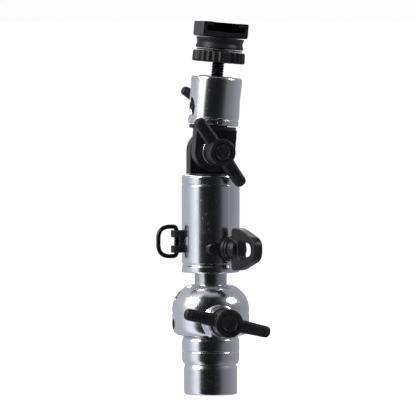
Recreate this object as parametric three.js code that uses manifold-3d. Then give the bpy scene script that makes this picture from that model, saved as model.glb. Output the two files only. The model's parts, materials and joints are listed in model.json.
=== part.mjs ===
// Umbrella swivel bracket for a lighting stand.
//
// A socket at the foot slips over the stand's top tube and is clamped by a T-handle. A barrel turns on the
// adapter's spigot, a friction joint above it tilts the head, the umbrella's shaft goes through the head's
// slanted hole, and a cold shoe for a flash sits on top.
//
// Millimetres, +Z up. -Y is the front, where the T-handles are, and +X is the side that the umbrella's far
// end rises to. Heights below are measured up from the socket's lower rim. The whole bracket is then set
// down by the socket's depth, so that the origin is the seat on which the stand's tube stops.

import * as THREE from 'three';
import { mergeVertices } from 'three/addons/utils/BufferGeometryUtils.js';
import Module from 'manifold-3d';

const wasm = await Module();
wasm.setup();

// ---------------------------------------------------------------- driving dimensions

const GAP = 0.3; // between pieces that touch
const STAND_D = 16; // the stand's top tube, nominal 5/8 inch
const SOCKET_DEPTH = 42;
const SOCKET_R = STAND_D / 2 + GAP;

const SLEEVE = { rimR: 13.25, bandR: 14.25, step: 15, top: 29, tenonR: 12, tenonTop: 40 };
const BUSH = { r: 10.3, bottom: 1.8 };
const COLLAR = { r: 19, bottom: SLEEVE.top + GAP, footR: 15.4, waist: 34.5, shoulder: 42, top: 54, topR: 9.6 };
const SEAT = { r: 7.7, thickness: 2.5 };
const SPIGOT = { r: 7.95, waistR: 6.6, waistFrom: 65, waistTo: 79, top: 91 };
const SPIGOT_PIN = { r: 1.8, height: 48.6, length: 32 };
const GRUB = { r: 2.2, height: 34.8, length: 5.6 };

const BARREL = { r: 14.25, bottom: 60, top: 108, boreTop: 97, pocketDepth: 2.5 };
const PAN_BUSH_R = 10;
const KNUCKLE_TENON = { r: 5, bottom: 100.3 };
const KNUCKLE_BOLT = { r: 2.5, headR: 4.2, headHeight: 4.4, top: 107 };

const TILT = { height: 119.5, discR: 10.2, cheek: 8.2, split: 0.8, lean: 5 };
const TILT_BOLT = { r: 3, headR: 5.6, headHeight: 3.6, reach: 21 };
const FLANGE = { r: 11.6, bottom: 130.2, top: 132.2, tenonR: 7, tenonTop: 136.2 };

const HEAD = { r: 12.5, bottom: 132.5, top: 156.5 };
const HEAD_PIN = { r: 1.2, height: 134.5, length: 23 };
const UMBRELLA_HOLE = { r: 5, height: 142.6, slant: 10.26 };
const STUD = { r: 3.2, bottom: 149.6, top: 175.1 };

const WHEEL = { r: 13.1, ribs: 24, ribDepth: 0.7, bottom: 163.3, top: 168.8 };
const SHOE_WASHER = { r: 11.2, bottom: 169.1, top: 169.8 };
const PEDESTAL = { r: 11.8, waistR: 11.1, bottom: 170.1, top: 175.4 };
const SHOE = {
  width: 22.6, length: 20, bottom: 175.7, floor: 178.5, lipUnder: 181.1, top: 183,
  slotWidth: 18.8, mouthWidth: 12.6, stop: 1.6,
};

// Lock screws. Distances run outwards from the bracket's axis.
const STAND_LOCK = {
  azimuth: 0, height: 36.6, r: 4, shoeR: 4.2, shoeTip: 8.05, shoeEnd: 12, bossR: 7.6, bossEnd: 23.5,
};
const KEY_LOCK = {
  azimuth: 25, height: 72, r: 3, padTip: 6.95, padEnd: 10.5, bossR: 6.2, bossFrom: 12.6, bossEnd: 17.9,
};
const UMBRELLA_LOCK = { azimuth: 180, r: 2.5, padTip: 3.4, padEnd: 7.4 };

const CORD_RING = { pivot: 17.4, height: 75.4, wireR: 1.1, reach: 10.2, halfHeight: 8.4, cornerR: 6.6 };

// Sides of a full circle, by the size of what is turned.
const LARGE = 32;
const MIDDLE = 20;
const SMALL = 12;

// ---------------------------------------------------------------- materials

const finish = (color, roughness, metalness) => new THREE.MeshStandardMaterial({ color, roughness, metalness });
const silver = finish(0xc9ccd4, 0.32, 1);
const steel = finish(0x8f9298, 0.35, 1);
const darkSteel = finish(0x2c2c31, 0.4, 1);
const brass = finish(0xb08d45, 0.4, 1);
const blackPaint = finish(0x17171b, 0.45, 0.2);
const blackPlastic = finish(0x131317, 0.5, 0);
const nylon = finish(0xd8d6cc, 0.6, 0);
const fibre = finish(0x4a3a30, 0.9, 0);

// ---------------------------------------------------------------- shape tools

const MERGE = 1e-4;
const { degToRad } = THREE.MathUtils;

/** A closed geometry with shared corners, no collapsed faces, and its faces turned outwards. */
function solid(geometry) {
  const bare = new THREE.BufferGeometry();
  bare.setAttribute('position', geometry.getAttribute('position'));
  bare.setIndex(geometry.index);
  const merged = mergeVertices(bare, MERGE);
  const corners = merged.getAttribute('position');
  const [a, b, c] = [new THREE.Vector3(), new THREE.Vector3(), new THREE.Vector3()];
  const faces = [];
  let volume = 0;
  for (let i = 0; i < merged.index.count; i += 3) {
    const [u, v, w] = [0, 1, 2].map((k) => merged.index.getX(i + k));
    if (u !== v && v !== w && w !== u) {
      faces.push(u, v, w);
      a.fromBufferAttribute(corners, u);
      b.fromBufferAttribute(corners, v);
      c.fromBufferAttribute(corners, w);
      volume += a.dot(b.cross(c));
    }
  }
  if (volume < 0) faces.reverse();
  merged.setIndex(faces);
  return merged;
}

function toManifold(geometry) {
  return new wasm.Manifold(new wasm.Mesh({
    numProp: 3,
    vertProperties: Float32Array.from(geometry.getAttribute('position').array),
    triVerts: Uint32Array.from(geometry.index.array),
  }));
}

function fromManifold(body) {
  const mesh = body.getMesh();
  const geometry = new THREE.BufferGeometry();
  geometry.setAttribute('position', new THREE.BufferAttribute(mesh.vertProperties, 3));
  geometry.setIndex(new THREE.BufferAttribute(mesh.triVerts, 1));
  return geometry;
}

const join = (first, ...others) => (
  fromManifold(others.reduce((body, other) => body.add(toManifold(other)), toManifold(first))));

const cut = (first, ...others) => (
  fromManifold(others.reduce((body, other) => body.subtract(toManifold(other)), toManifold(first))));

/** A profile of [radius, height] points turned about +Z. */
function turned(profile, sides) {
  const outline = profile.map(([r, z]) => new THREE.Vector2(r, z));
  return solid(new THREE.LatheGeometry(outline, sides).rotateX(Math.PI / 2));
}

/** A round bar about +Z with chamfered ends. */
function rod(r, from, to, sides, chamfer = 0) {
  return turned([
    [0, from], [r - chamfer, from], [r, from + chamfer], [r, to - chamfer], [r - chamfer, to], [0, to],
  ], sides);
}

/** A round tube about +Z with chamfered outer edges. */
function tube(r, boreR, from, to, sides, chamfer = 0) {
  return turned([
    [boreR, from], [r - chamfer, from], [r, from + chamfer], [r, to - chamfer], [r - chamfer, to],
    [boreR, to], [boreR, from],
  ], sides);
}

/** A box from one corner to the opposite one. */
function block([x0, y0, z0], [x1, y1, z1]) {
  const box = new THREE.BoxGeometry(x1 - x0, y1 - y0, z1 - z0);
  return solid(box.translate((x0 + x1) / 2, (y0 + y1) / 2, (z0 + z1) / 2));
}

/** A closed outline through corners [x, y, rounding], which leaves part of every side straight. */
function rounded(corners, outline = new THREE.Shape()) {
  const mostOfSide = 0.48;
  corners.forEach(([x, y, rounding], i) => {
    const [px, py] = corners.at(i - 1);
    const [nx, ny] = corners[(i + 1) % corners.length];
    const back = new THREE.Vector2(px - x, py - y);
    const on = new THREE.Vector2(nx - x, ny - y);
    back.clampLength(0, Math.min(rounding, mostOfSide * back.length()));
    on.clampLength(0, Math.min(rounding, mostOfSide * on.length()));
    if (i === 0) outline.moveTo(x + back.x, y + back.y);
    else outline.lineTo(x + back.x, y + back.y);
    outline.quadraticCurveTo(x, y, x + on.x, y + on.y);
  });
  outline.closePath();
  return outline;
}

/** An outline in XY pushed from one height to another, its outer edges bevelled inside those limits. */
function plate(outline, from, to, bevel = 0, curveSegments = 4) {
  const geometry = new THREE.ExtrudeGeometry(outline, {
    depth: to - from - 2 * bevel,
    bevelEnabled: bevel > 0,
    bevelThickness: bevel,
    bevelSize: bevel,
    bevelOffset: -bevel,
    bevelSegments: 1,
    curveSegments,
  });
  return solid(geometry.translate(0, 0, from + bevel));
}

/** A lock screw's frame: +Z points out of the bracket, turned by an azimuth from the front, +Y stays up. */
function facing(azimuth, height) {
  const angle = degToRad(azimuth);
  const out = new THREE.Vector3(Math.sin(angle), -Math.cos(angle), 0);
  const up = new THREE.Vector3(0, 0, 1);
  const across = up.clone().cross(out);
  return new THREE.Matrix4().makeBasis(across, up, out).setPosition(0, 0, height);
}

const placed = (geometry, frame) => geometry.clone().applyMatrix4(frame);

function groupAt(parent, frame = new THREE.Matrix4()) {
  const group = new THREE.Group();
  group.applyMatrix4(frame);
  parent.add(group);
  return group;
}

function add(parent, name, geometry, material) {
  const mesh = new THREE.Mesh(geometry, material);
  mesh.name = name;
  parent.add(mesh);
}

// ---------------------------------------------------------------- grips and screws

/** A moulded T-grip: a hub about +Z, a tapered bar across it, a bore from below and a recess for a cap. */
function teeGrip({ hubR, from, to, span, barWidth, barFrom, barTo, angle, boreR, boreTo, capR }) {
  const half = span / 2;
  const tip = barWidth * 0.4;
  const bar = plate(rounded([
    [-half, -tip, tip * 0.9], [0, -barWidth / 2, 1], [half, -tip, tip * 0.9],
    [half, tip, tip * 0.9], [0, barWidth / 2, 1], [-half, tip, tip * 0.9],
  ]), barFrom, barTo, 0.9);
  const hub = turned([
    [0, from], [hubR - 1.2, from], [hubR - 1.2, from + 2], [hubR, from + 3.2], [hubR, to - 1.2],
    [hubR - 1.2, to], [0, to],
  ], MIDDLE);
  const bore = rod(boreR, from - 1, boreTo, SMALL);
  const recess = rod(capR + GAP, to - 1.4, to + 1, SMALL);
  return cut(join(hub, bar), bore, recess).rotateZ(degToRad(angle));
}

/** A plug that fills the recess in a T-grip's front. */
const gripCap = (capR, to) => rod(capR, to - 1.1, to - 0.1, SMALL, 0.3);

/** A set screw about +Z with a hexagonal socket in its outer end. */
function grubScrew(r, from, to) {
  const socket = rod(r * 0.55, to - r, to + 1, 6);
  return cut(rod(r, from, to, SMALL, 0.4), socket);
}

// ---------------------------------------------------------------- stand adapter

const standLock = facing(STAND_LOCK.azimuth, STAND_LOCK.height);
const keyLock = facing(KEY_LOCK.azimuth, KEY_LOCK.height);

function lowerSleeve() {
  const { rimR, bandR, step, top, tenonR, tenonTop } = SLEEVE;
  const boreR = BUSH.r + GAP;
  const mouthR = SOCKET_R + 0.5;
  const sleeve = turned([
    [mouthR, 0], [rimR - 0.8, 0], [rimR, 0.8], [rimR, step - 0.4], [bandR - 0.7, step], [bandR, step + 0.7],
    [bandR, top - 0.7], [bandR - 0.7, top], [tenonR, top], [tenonR, tenonTop], [boreR, tenonTop],
    [boreR, BUSH.bottom - GAP], [mouthR, BUSH.bottom - GAP], [mouthR, 0],
  ], LARGE);
  return cut(sleeve, placed(rod(STAND_LOCK.shoeR + GAP, 2, 20, MIDDLE), standLock));
}

function socketBush() {
  const bush = tube(BUSH.r, SOCKET_R, BUSH.bottom, SLEEVE.tenonTop - GAP, LARGE, 0.5);
  return cut(bush, placed(rod(STAND_LOCK.shoeR + GAP, 2, 20, MIDDLE), standLock));
}

/** A squat bulb: rounded out from its foot, straight round the middle, domed in to the spigot. */
function collarBody() {
  const { r, bottom, footR, waist, shoulder, top, topR } = COLLAR;
  const counterR = SLEEVE.tenonR + GAP;
  const counterTop = SLEEVE.tenonTop + GAP;
  const steps = [0, 1, 2, 3, 4, 5];
  const quarter = (i) => (i / 5) * (Math.PI / 2);
  const foot = steps.map((i) => [
    footR + (r - footR) * Math.sin(quarter(i)),
    waist - (waist - bottom) * Math.cos(quarter(i)),
  ]);
  const dome = steps.map((i) => [
    topR + (r - topR) * Math.cos(quarter(i)) ** 1.3,
    shoulder + (top - shoulder) * Math.sin(quarter(i)),
  ]);
  const shell = turned([
    [counterR, bottom], ...foot, ...dome,
    [SOCKET_R, top], [SOCKET_R, counterTop], [counterR, counterTop], [counterR, bottom],
  ], LARGE);
  const boss = placed(rod(STAND_LOCK.bossR, 15, STAND_LOCK.bossEnd, MIDDLE, 0.6), standLock);
  const bossCore = placed(rod(STAND_LOCK.bossR + 1, 0, 15.5, MIDDLE), standLock);
  const screwHole = placed(rod(STAND_LOCK.shoeR + GAP, 5, 30, MIDDLE), standLock);
  const grubHoles = [90, -90].map((side) => (
    placed(rod(GRUB.r + GAP, 8, 25, SMALL), facing(side, GRUB.height))));
  const pinHole = placed(rod(SPIGOT_PIN.r + GAP, -25, 25, SMALL), facing(90, SPIGOT_PIN.height));
  const outside = join(shell, cut(boss, bossCore));
  return cut(outside, screwHole, ...grubHoles, pinHole);
}

function spigotBody() {
  const { r, waistR, waistFrom, waistTo, top } = SPIGOT;
  const bottom = SOCKET_DEPTH + SEAT.thickness + GAP;
  const bar = turned([
    [0, bottom], [r - 0.5, bottom], [r, bottom + 0.5], [r, waistFrom - 1.5], [waistR, waistFrom],
    [waistR, waistTo], [r, waistTo + 1.5], [r, top - 1], [r - 1, top], [0, top],
  ], LARGE);
  return cut(bar, placed(rod(SPIGOT_PIN.r + GAP, -20, 20, SMALL), facing(90, SPIGOT_PIN.height)));
}

function standAdapter(parent) {
  add(parent, 'lower_sleeve', lowerSleeve(), silver);
  add(parent, 'socket_bush', socketBush(), nylon);
  add(parent, 'collar', collarBody(), silver);
  add(parent, 'seat_disc', rod(SEAT.r, SOCKET_DEPTH, SOCKET_DEPTH + SEAT.thickness, MIDDLE), steel);
  add(parent, 'spigot', spigotBody(), steel);
  const half = SPIGOT_PIN.length / 2;
  const pinGroup = groupAt(parent, facing(90, SPIGOT_PIN.height));
  add(pinGroup, 'spigot_pin', rod(SPIGOT_PIN.r, -half, half, SMALL, 0.4), steel);
  const tip = SLEEVE.tenonR + GAP;
  for (const [side, azimuth] of [['left', -90], ['right', 90]]) {
    const group = groupAt(parent, facing(azimuth, GRUB.height));
    add(group, `sleeve_grub_${side}`, grubScrew(GRUB.r, tip, tip + GRUB.length), darkSteel);
  }
}

function standLockScrew(parent) {
  const { r, shoeR, shoeTip, shoeEnd, bossEnd } = STAND_LOCK;
  const group = groupAt(parent, standLock);
  const washerFrom = bossEnd + GAP;
  const washerTo = washerFrom + 1.4;
  const gripTo = 37.8;
  const screwTo = 31.5;
  add(group, 'stand_lock_shoe', rod(shoeR, shoeTip, shoeEnd, MIDDLE, 0.5), brass);
  add(group, 'stand_lock_screw', rod(r, shoeEnd + GAP, screwTo, MIDDLE, 0.6), steel);
  add(group, 'stand_lock_washer', tube(7.2, r + GAP, washerFrom, washerTo, MIDDLE, 0.3), steel);
  add(group, 'stand_lock_grip', teeGrip({
    hubR: 7, from: washerTo + GAP, to: gripTo, span: 44.5, barWidth: 7, barFrom: 29.2, barTo: 35.4,
    angle: -13, boreR: r + GAP, boreTo: screwTo + GAP, capR: 4.4,
  }), blackPlastic);
  add(group, 'stand_lock_cap', gripCap(4.4, gripTo), blackPaint);
}

// ---------------------------------------------------------------- barrel

function barrelBody() {
  const { r, bottom, top, boreTop, pocketDepth } = BARREL;
  const boreR = PAN_BUSH_R + GAP;
  const body = turned([
    [0, boreTop], [boreR, boreTop], [boreR, bottom], [r - 0.9, bottom], [r, bottom + 0.9],
    [r, bottom + 3], [r - 0.5, bottom + 3.5], [r - 0.5, bottom + 4.3], [r, bottom + 4.8],
    [r, top - 1.2], [r - 1.2, top], [0, top],
  ], LARGE);
  const pocket = rod(TILT.discR + GAP, top - pocketDepth, top + 1, LARGE);
  const tenonHole = rod(KNUCKLE_TENON.r + GAP, KNUCKLE_TENON.bottom - GAP, top + 1, MIDDLE);
  const boltHole = rod(KNUCKLE_BOLT.r + GAP, boreTop - 1, top, SMALL);
  const bossSeat = placed(rod(KEY_LOCK.bossR + GAP, KEY_LOCK.bossFrom - GAP, 30, MIDDLE), keyLock);
  const screwHole = placed(rod(KEY_LOCK.r + GAP, 5, 30, SMALL), keyLock);
  const strapHole = placed(rod(1.5 + GAP, 10.9, 30, SMALL), facing(-90, CORD_RING.height));
  return cut(body, pocket, tenonHole, boltHole, bossSeat, screwHole, strapHole);
}

function panBush() {
  const bush = tube(PAN_BUSH_R, SPIGOT.r + GAP, BARREL.bottom + 0.5, SPIGOT.top, LARGE, 0.4);
  return cut(bush, placed(rod(KEY_LOCK.r + GAP, 5, 30, SMALL), keyLock));
}

/** A round boss on an oval foot that follows the barrel's side. */
function keyBoss() {
  const { bossR, bossFrom, bossEnd, r } = KEY_LOCK;
  const round = rod(bossR, bossFrom, bossEnd, MIDDLE, 0.6);
  const foot = plate(rounded([[-11, -2.6, 2.4], [11, -2.6, 2.4], [11, 2.6, 2.4], [-11, 2.6, 2.4]]), 6, 15.8);
  const barrelSpace = placed(
    rod(BARREL.r + GAP, BARREL.bottom, BARREL.top, LARGE),
    keyLock.clone().invert(),
  );
  const trimmedFoot = cut(foot, barrelSpace);
  return cut(join(round, trimmedFoot), rod(r + GAP, 0, 30, SMALL));
}

/** A strap against the barrel with an eye at each end for the ring's straight side. */
function ringBracket() {
  const { pivot, wireR, halfHeight } = CORD_RING;
  const eyeR = 2.7;
  const eyeLength = 3.6;
  const eyeTop = halfHeight - 2 * wireR - 0.6;
  const strap = block([-2.2, -eyeTop, BARREL.r + GAP], [2.2, eyeTop, BARREL.r + GAP + 1.5]);
  const eye = (from) => {
    const barrelFrame = new THREE.Matrix4().makeRotationX(-Math.PI / 2).setPosition(0, 0, pivot);
    return placed(rod(eyeR, from, from + eyeLength, MIDDLE, 0.5), barrelFrame);
  };
  const bore = placed(
    rod(wireR + 0.4, -15, 15, SMALL),
    new THREE.Matrix4().makeRotationX(-Math.PI / 2).setPosition(0, 0, pivot),
  );
  const screwHole = rod(1.5 + GAP, 10, 20, SMALL);
  const barrelSpace = placed(
    rod(BARREL.r + GAP, BARREL.bottom, BARREL.top, LARGE),
    facing(-90, CORD_RING.height).invert(),
  );
  return cut(join(strap, eye(-eyeTop), eye(eyeTop - eyeLength)), bore, screwHole, barrelSpace);
}

/** The rear cheek: an upright slab with a round top, on a flange and tenon that sit in the barrel. */
function lowerKnuckle() {
  const { height, discR, cheek, split } = TILT;
  const { r, headR, headHeight } = TILT_BOLT;
  const frame = facing(0, height);
  const foot = BARREL.top + GAP - height;
  const outline = new THREE.Shape();
  outline.moveTo(-discR, foot);
  outline.lineTo(discR, foot);
  outline.lineTo(discR, 0);
  outline.absarc(0, 0, discR, 0, Math.PI, false);
  outline.closePath();
  const slab = placed(plate(outline, -split - cheek, -split, 0, 10), frame);
  const flangeBottom = BARREL.top - BARREL.pocketDepth + GAP;
  const flange = rod(discR, flangeBottom, BARREL.top + 0.7, LARGE);
  const tenon = rod(KNUCKLE_TENON.r, KNUCKLE_TENON.bottom, flangeBottom + 1, MIDDLE);
  const bore = placed(rod(r + GAP, -20, 20, SMALL), frame);
  const headSeat = placed(rod(headR + GAP, -20, -split - cheek + headHeight, MIDDLE), frame);
  const boltHole = rod(KNUCKLE_BOLT.r + GAP, 90, KNUCKLE_BOLT.top + GAP, SMALL);
  return cut(join(slab, flange, tenon), bore, headSeat, boltHole);
}

function knuckleBolt() {
  const { r, headR, headHeight, top } = KNUCKLE_BOLT;
  const underHead = BARREL.boreTop - GAP;
  const head = rod(headR, underHead - headHeight, underHead, MIDDLE, 0.3);
  const socket = rod(headR * 0.55, underHead - headHeight - 1, underHead - headHeight / 2, 6);
  return cut(join(head, rod(r, underHead - 1, top, SMALL, 0.3)), socket);
}

function tiltBolt() {
  const { r, headR, headHeight, reach } = TILT_BOLT;
  const rear = -TILT.split - TILT.cheek + 0.4;
  const headTop = rear + headHeight - GAP - 0.4;
  const head = rod(headR, rear, headTop, 6);
  return join(head, rod(r, rear + 0.5, reach, MIDDLE, 0.5));
}

function barrelGroup(parent) {
  const bossGroup = groupAt(parent, keyLock);
  const strapGroup = groupAt(parent, facing(-90, CORD_RING.height));
  const tiltGroup = groupAt(parent, facing(0, TILT.height));
  add(parent, 'barrel', barrelBody(), silver);
  add(parent, 'pan_bush', panBush(), nylon);
  add(bossGroup, 'key_boss', keyBoss(), blackPaint);
  add(strapGroup, 'ring_bracket', ringBracket(), blackPaint);
  add(strapGroup, 'ring_bracket_screw', grubScrew(1.5, 11.3, BARREL.r + 1.6), darkSteel);
  add(parent, 'lower_knuckle', lowerKnuckle(), blackPaint);
  add(parent, 'knuckle_bolt', knuckleBolt(), steel);
  add(tiltGroup, 'tilt_bolt', tiltBolt(), steel);
}

/** A thick D-shaped loop on the screw's end. Its broad side faces the barrel and its plane is upright. */
function keyGrip() {
  const { r, bossEnd } = KEY_LOCK;
  const from = bossEnd + GAP;
  const hubEnd = from + 5.6;
  const reach = from + 18.8;
  const ring = rounded([
    [from + 0.6, -10.8, 3], [from + 6.5, -10.2, 3], [reach, -4.8, 5],
    [reach, 4.8, 5], [from + 6.5, 10.2, 3], [from + 0.6, 10.8, 3],
  ]);
  ring.holes.push(rounded([
    [hubEnd + 0.5, -4.6, 1.8], [reach - 3.4, -2.8, 2], [reach - 3.4, 2.8, 2], [hubEnd + 0.5, 4.6, 1.8],
  ], new THREE.Path()));
  const upright = new THREE.Matrix4().makeBasis(
    new THREE.Vector3(0, 0, 1),
    new THREE.Vector3(0, 1, 0),
    new THREE.Vector3(-1, 0, 0),
  );
  const loop = placed(plate(ring, -2.6, 2.6, 0.8), upright);
  const hub = rod(5.2, from, hubEnd, MIDDLE, 0.6);
  return cut(join(hub, loop), rod(r + GAP, 0, hubEnd - 0.8, SMALL));
}

function keyLockScrew(parent) {
  const { r, padTip, padEnd, bossEnd } = KEY_LOCK;
  const group = groupAt(parent, keyLock);
  add(group, 'key_pad', rod(r - 0.1, padTip, padEnd, SMALL, 0.4), brass);
  add(group, 'key_screw', rod(r, padEnd + GAP, bossEnd + 4.8, SMALL, 0.4), steel);
  add(group, 'key_grip', keyGrip(), blackPlastic);
}

/** A wire ring with one straight upright side, which turns in the strap's eyes. */
function cordRing() {
  const { wireR, reach, halfHeight, cornerR } = CORD_RING;
  const top = halfHeight - wireR;
  const out = reach - wireR;
  const path = new THREE.CurvePath();
  const corner = (x, y, fromX, fromY, toX, toY) => new THREE.QuadraticBezierCurve3(
    new THREE.Vector3(fromX, fromY, 0),
    new THREE.Vector3(x, y, 0),
    new THREE.Vector3(toX, toY, 0),
  );
  const line = (ax, ay, bx, by) => new THREE.LineCurve3(
    new THREE.Vector3(ax, ay, 0),
    new THREE.Vector3(bx, by, 0),
  );
  const bend = 2 * wireR;
  path.add(line(0, -top + bend, 0, top - bend));
  path.add(corner(0, top, 0, top - bend, bend, top));
  path.add(line(bend, top, out - cornerR, top));
  path.add(corner(out, top, out - cornerR, top, out, top - cornerR));
  path.add(line(out, top - cornerR, out, -top + cornerR));
  path.add(corner(out, -top, out, -top + cornerR, out - cornerR, -top));
  path.add(line(out - cornerR, -top, bend, -top));
  path.add(corner(0, -top, bend, -top, 0, -top + bend));
  const points = path.curves.flatMap((curve) => (
    curve instanceof THREE.LineCurve3 ? [curve.getPoint(0.02)] : curve.getPoints(4)));
  const route = new THREE.CatmullRomCurve3(points, true, 'catmullrom', 0.5);
  const wire = new THREE.Shape();
  wire.absarc(0, 0, wireR, 0, 2 * Math.PI, false);
  return solid(new THREE.ExtrudeGeometry(wire, { steps: 40, extrudePath: route, curveSegments: 4 }));
}

function cordRingGroup(parent) {
  const { pivot, height } = CORD_RING;
  const group = groupAt(parent, new THREE.Matrix4().makeBasis(
    new THREE.Vector3(-1, 0, 0),
    new THREE.Vector3(0, 0, 1),
    new THREE.Vector3(0, 1, 0),
  ).setPosition(-pivot, 0, height));
  add(group, 'cord_ring', cordRing(), darkSteel);
}

// ---------------------------------------------------------------- head

/** The front cheek: an upright slab with a round foot, under a flange and a short tenon. */
function upperKnuckle() {
  const { height, discR, cheek, split } = TILT;
  const frame = facing(0, height);
  const topEdge = FLANGE.bottom + 0.5 - height;
  const outline = new THREE.Shape();
  outline.moveTo(discR, topEdge);
  outline.lineTo(-discR, topEdge);
  outline.lineTo(-discR, 0);
  outline.absarc(0, 0, discR, Math.PI, 2 * Math.PI, false);
  outline.closePath();
  const slab = placed(plate(outline, split, split + cheek, 0, 10), frame);
  const flange = rod(FLANGE.r, FLANGE.bottom, FLANGE.top, LARGE, 0.4);
  const tenon = rod(FLANGE.tenonR, FLANGE.top - 0.5, FLANGE.tenonTop, MIDDLE);
  const bore = placed(rod(TILT_BOLT.r + GAP, -20, 20, SMALL), frame);
  const pinHole = placed(rod(HEAD_PIN.r + GAP, -20, 20, SMALL), facing(0, HEAD_PIN.height));
  return cut(join(slab, flange, tenon), bore, pinHole);
}

function headBody() {
  const { r, bottom, top } = HEAD;
  const body = turned([
    [0, bottom], [r - 1, bottom], [r, bottom + 1], [r, top - 1.6], [r - 1.6, top], [0, top],
  ], LARGE);
  const tenonHole = rod(FLANGE.tenonR + GAP, bottom - 1, FLANGE.tenonTop + GAP, MIDDLE);
  const pinHole = placed(rod(HEAD_PIN.r + GAP, -20, 20, SMALL), facing(0, HEAD_PIN.height));
  const shaftFrame = new THREE.Matrix4()
    .makeRotationY(Math.PI / 2 - degToRad(UMBRELLA_HOLE.slant))
    .setPosition(0, 0, UMBRELLA_HOLE.height);
  const shaftHole = placed(rod(UMBRELLA_HOLE.r, -25, 25, MIDDLE), shaftFrame);
  const lockFrame = facing(UMBRELLA_LOCK.azimuth, UMBRELLA_HOLE.height);
  const lockHole = placed(rod(UMBRELLA_LOCK.r + GAP, 2, 25, SMALL), lockFrame);
  const studHole = rod(STUD.r + GAP, STUD.bottom - GAP, top + 1, MIDDLE);
  return cut(body, tenonHole, pinHole, shaftHole, lockHole, studHole);
}

function headGroup(parent) {
  const { discR, split } = TILT;
  const tiltFrame = groupAt(parent, facing(0, TILT.height));
  const disc = tube(discR - 1, TILT_BOLT.r + GAP, GAP - split, split - GAP, MIDDLE);
  const pinFrame = groupAt(parent, facing(0, HEAD_PIN.height));
  const half = HEAD_PIN.length / 2;
  add(parent, 'upper_knuckle', upperKnuckle(), blackPaint);
  add(tiltFrame, 'friction_disc', disc, fibre);
  add(parent, 'head_body', headBody(), silver);
  add(pinFrame, 'head_pin', rod(HEAD_PIN.r, -half, half, SMALL, 0.3), steel);
  add(parent, 'head_stud', rod(STUD.r, STUD.bottom, STUD.top, MIDDLE, 0.5), darkSteel);
}

function tiltLockScrew(parent) {
  const group = groupAt(parent, facing(0, TILT.height));
  const washerFrom = TILT.split + TILT.cheek + GAP;
  const washerTo = washerFrom + 1.5;
  const gripFrom = washerTo + GAP;
  const gripTo = 24.5;
  const nutR = 4.6;
  const nutTo = TILT_BOLT.reach - 1;
  add(group, 'tilt_washer', tube(6.8, TILT_BOLT.r + GAP, washerFrom, washerTo, MIDDLE, 0.3), steel);
  add(group, 'tilt_nut', tube(nutR, TILT_BOLT.r + GAP, gripFrom + 0.2, nutTo, MIDDLE, 0.3), brass);
  add(group, 'tilt_grip', teeGrip({
    hubR: 6.6, from: gripFrom, to: gripTo, span: 40, barWidth: 6.8, barFrom: 15.2, barTo: 21.4,
    angle: -55, boreR: nutR + GAP, boreTo: TILT_BOLT.reach + GAP, capR: 4.2,
  }), blackPlastic);
  add(group, 'tilt_cap', gripCap(4.2, gripTo), blackPaint);
}

function umbrellaLockScrew(parent) {
  const { azimuth, r, padTip, padEnd } = UMBRELLA_LOCK;
  const group = groupAt(parent, facing(azimuth, UMBRELLA_HOLE.height));
  const gripFrom = HEAD.r + 1.4;
  const screwTo = gripFrom + 8;
  add(group, 'umbrella_pad', rod(r - 0.1, padTip, padEnd, SMALL, 0.4), brass);
  add(group, 'umbrella_screw', rod(r, padEnd + GAP, screwTo, SMALL, 0.4), steel);
  add(group, 'umbrella_grip', teeGrip({
    hubR: 5.4, from: gripFrom, to: gripFrom + 12, span: 27, barWidth: 5.4, barFrom: gripFrom + 4.5,
    barTo: gripFrom + 10, angle: 29, boreR: r + GAP, boreTo: screwTo + GAP, capR: 2.6,
  }), blackPlastic);
}

// ---------------------------------------------------------------- flash shoe

/** A ribbed wheel: its edge runs in and out once for each rib. */
function shoeWheel() {
  const { r, ribs, ribDepth, bottom, top } = WHEEL;
  const pointsPerRib = 2;
  const outline = Array.from({ length: ribs * pointsPerRib }, (_, i) => {
    const angle = (2 * Math.PI * i) / (ribs * pointsPerRib);
    const edge = r - (ribDepth * (1 + Math.cos(ribs * angle))) / 2;
    return new THREE.Vector2(edge * Math.cos(angle), edge * Math.sin(angle));
  });
  const wheel = plate(new THREE.Shape(outline), bottom, top, 0.6);
  return cut(wheel, rod(STUD.r + GAP, bottom - 1, top + 1, MIDDLE));
}

const SHOE_SCREW = { r: 1.4, headR: 2.4, offset: 5.6, bottom: 172.4 };

/** The waisted foot under the shoe, with a hole for the stud and one for each screw. */
function shoePedestal() {
  const { r, waistR, bottom, top } = PEDESTAL;
  const body = turned([
    [0, bottom], [r - 0.6, bottom], [r, bottom + 0.6], [waistR, (bottom + top) / 2], [r, top - 0.6],
    [r, top], [0, top],
  ], LARGE);
  const studHole = rod(STUD.r + GAP, bottom - 1, top + 1, MIDDLE);
  const screwHoles = [-1, 1].map((side) => (
    rod(SHOE_SCREW.r + GAP, SHOE_SCREW.bottom - GAP, top + 1, SMALL).translate(0, side * SHOE_SCREW.offset, 0)));
  return cut(body, studHole, ...screwHoles);
}

/** A channel with inward lips, open to the front and stopped at the rear. */
function shoeFrame() {
  const { width, length, bottom, floor, lipUnder, top, slotWidth, mouthWidth, stop } = SHOE;
  const [x, y] = [width / 2, length / 2];
  const outline = rounded([[-x, -y, 1.6], [x, -y, 1.6], [x, y, 1.6], [-x, y, 1.6]]);
  const slot = block([-slotWidth / 2, -y - 1, floor], [slotWidth / 2, y - stop, lipUnder]);
  const mouth = block([-mouthWidth / 2, -y - 1, floor], [mouthWidth / 2, y - stop, top + 1]);
  const seats = [-1, 1].map((side) => turned([
    [0, bottom - 1], [SHOE_SCREW.r + GAP, bottom - 1], [SHOE_SCREW.r + GAP, floor - 2.1],
    [SHOE_SCREW.headR + GAP, floor - 0.7], [SHOE_SCREW.headR + GAP, floor + 1], [0, floor + 1],
  ], SMALL).translate(0, side * SHOE_SCREW.offset, 0));
  return cut(plate(outline, bottom, top, 0.5, 3), slot, mouth, ...seats);
}

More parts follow.
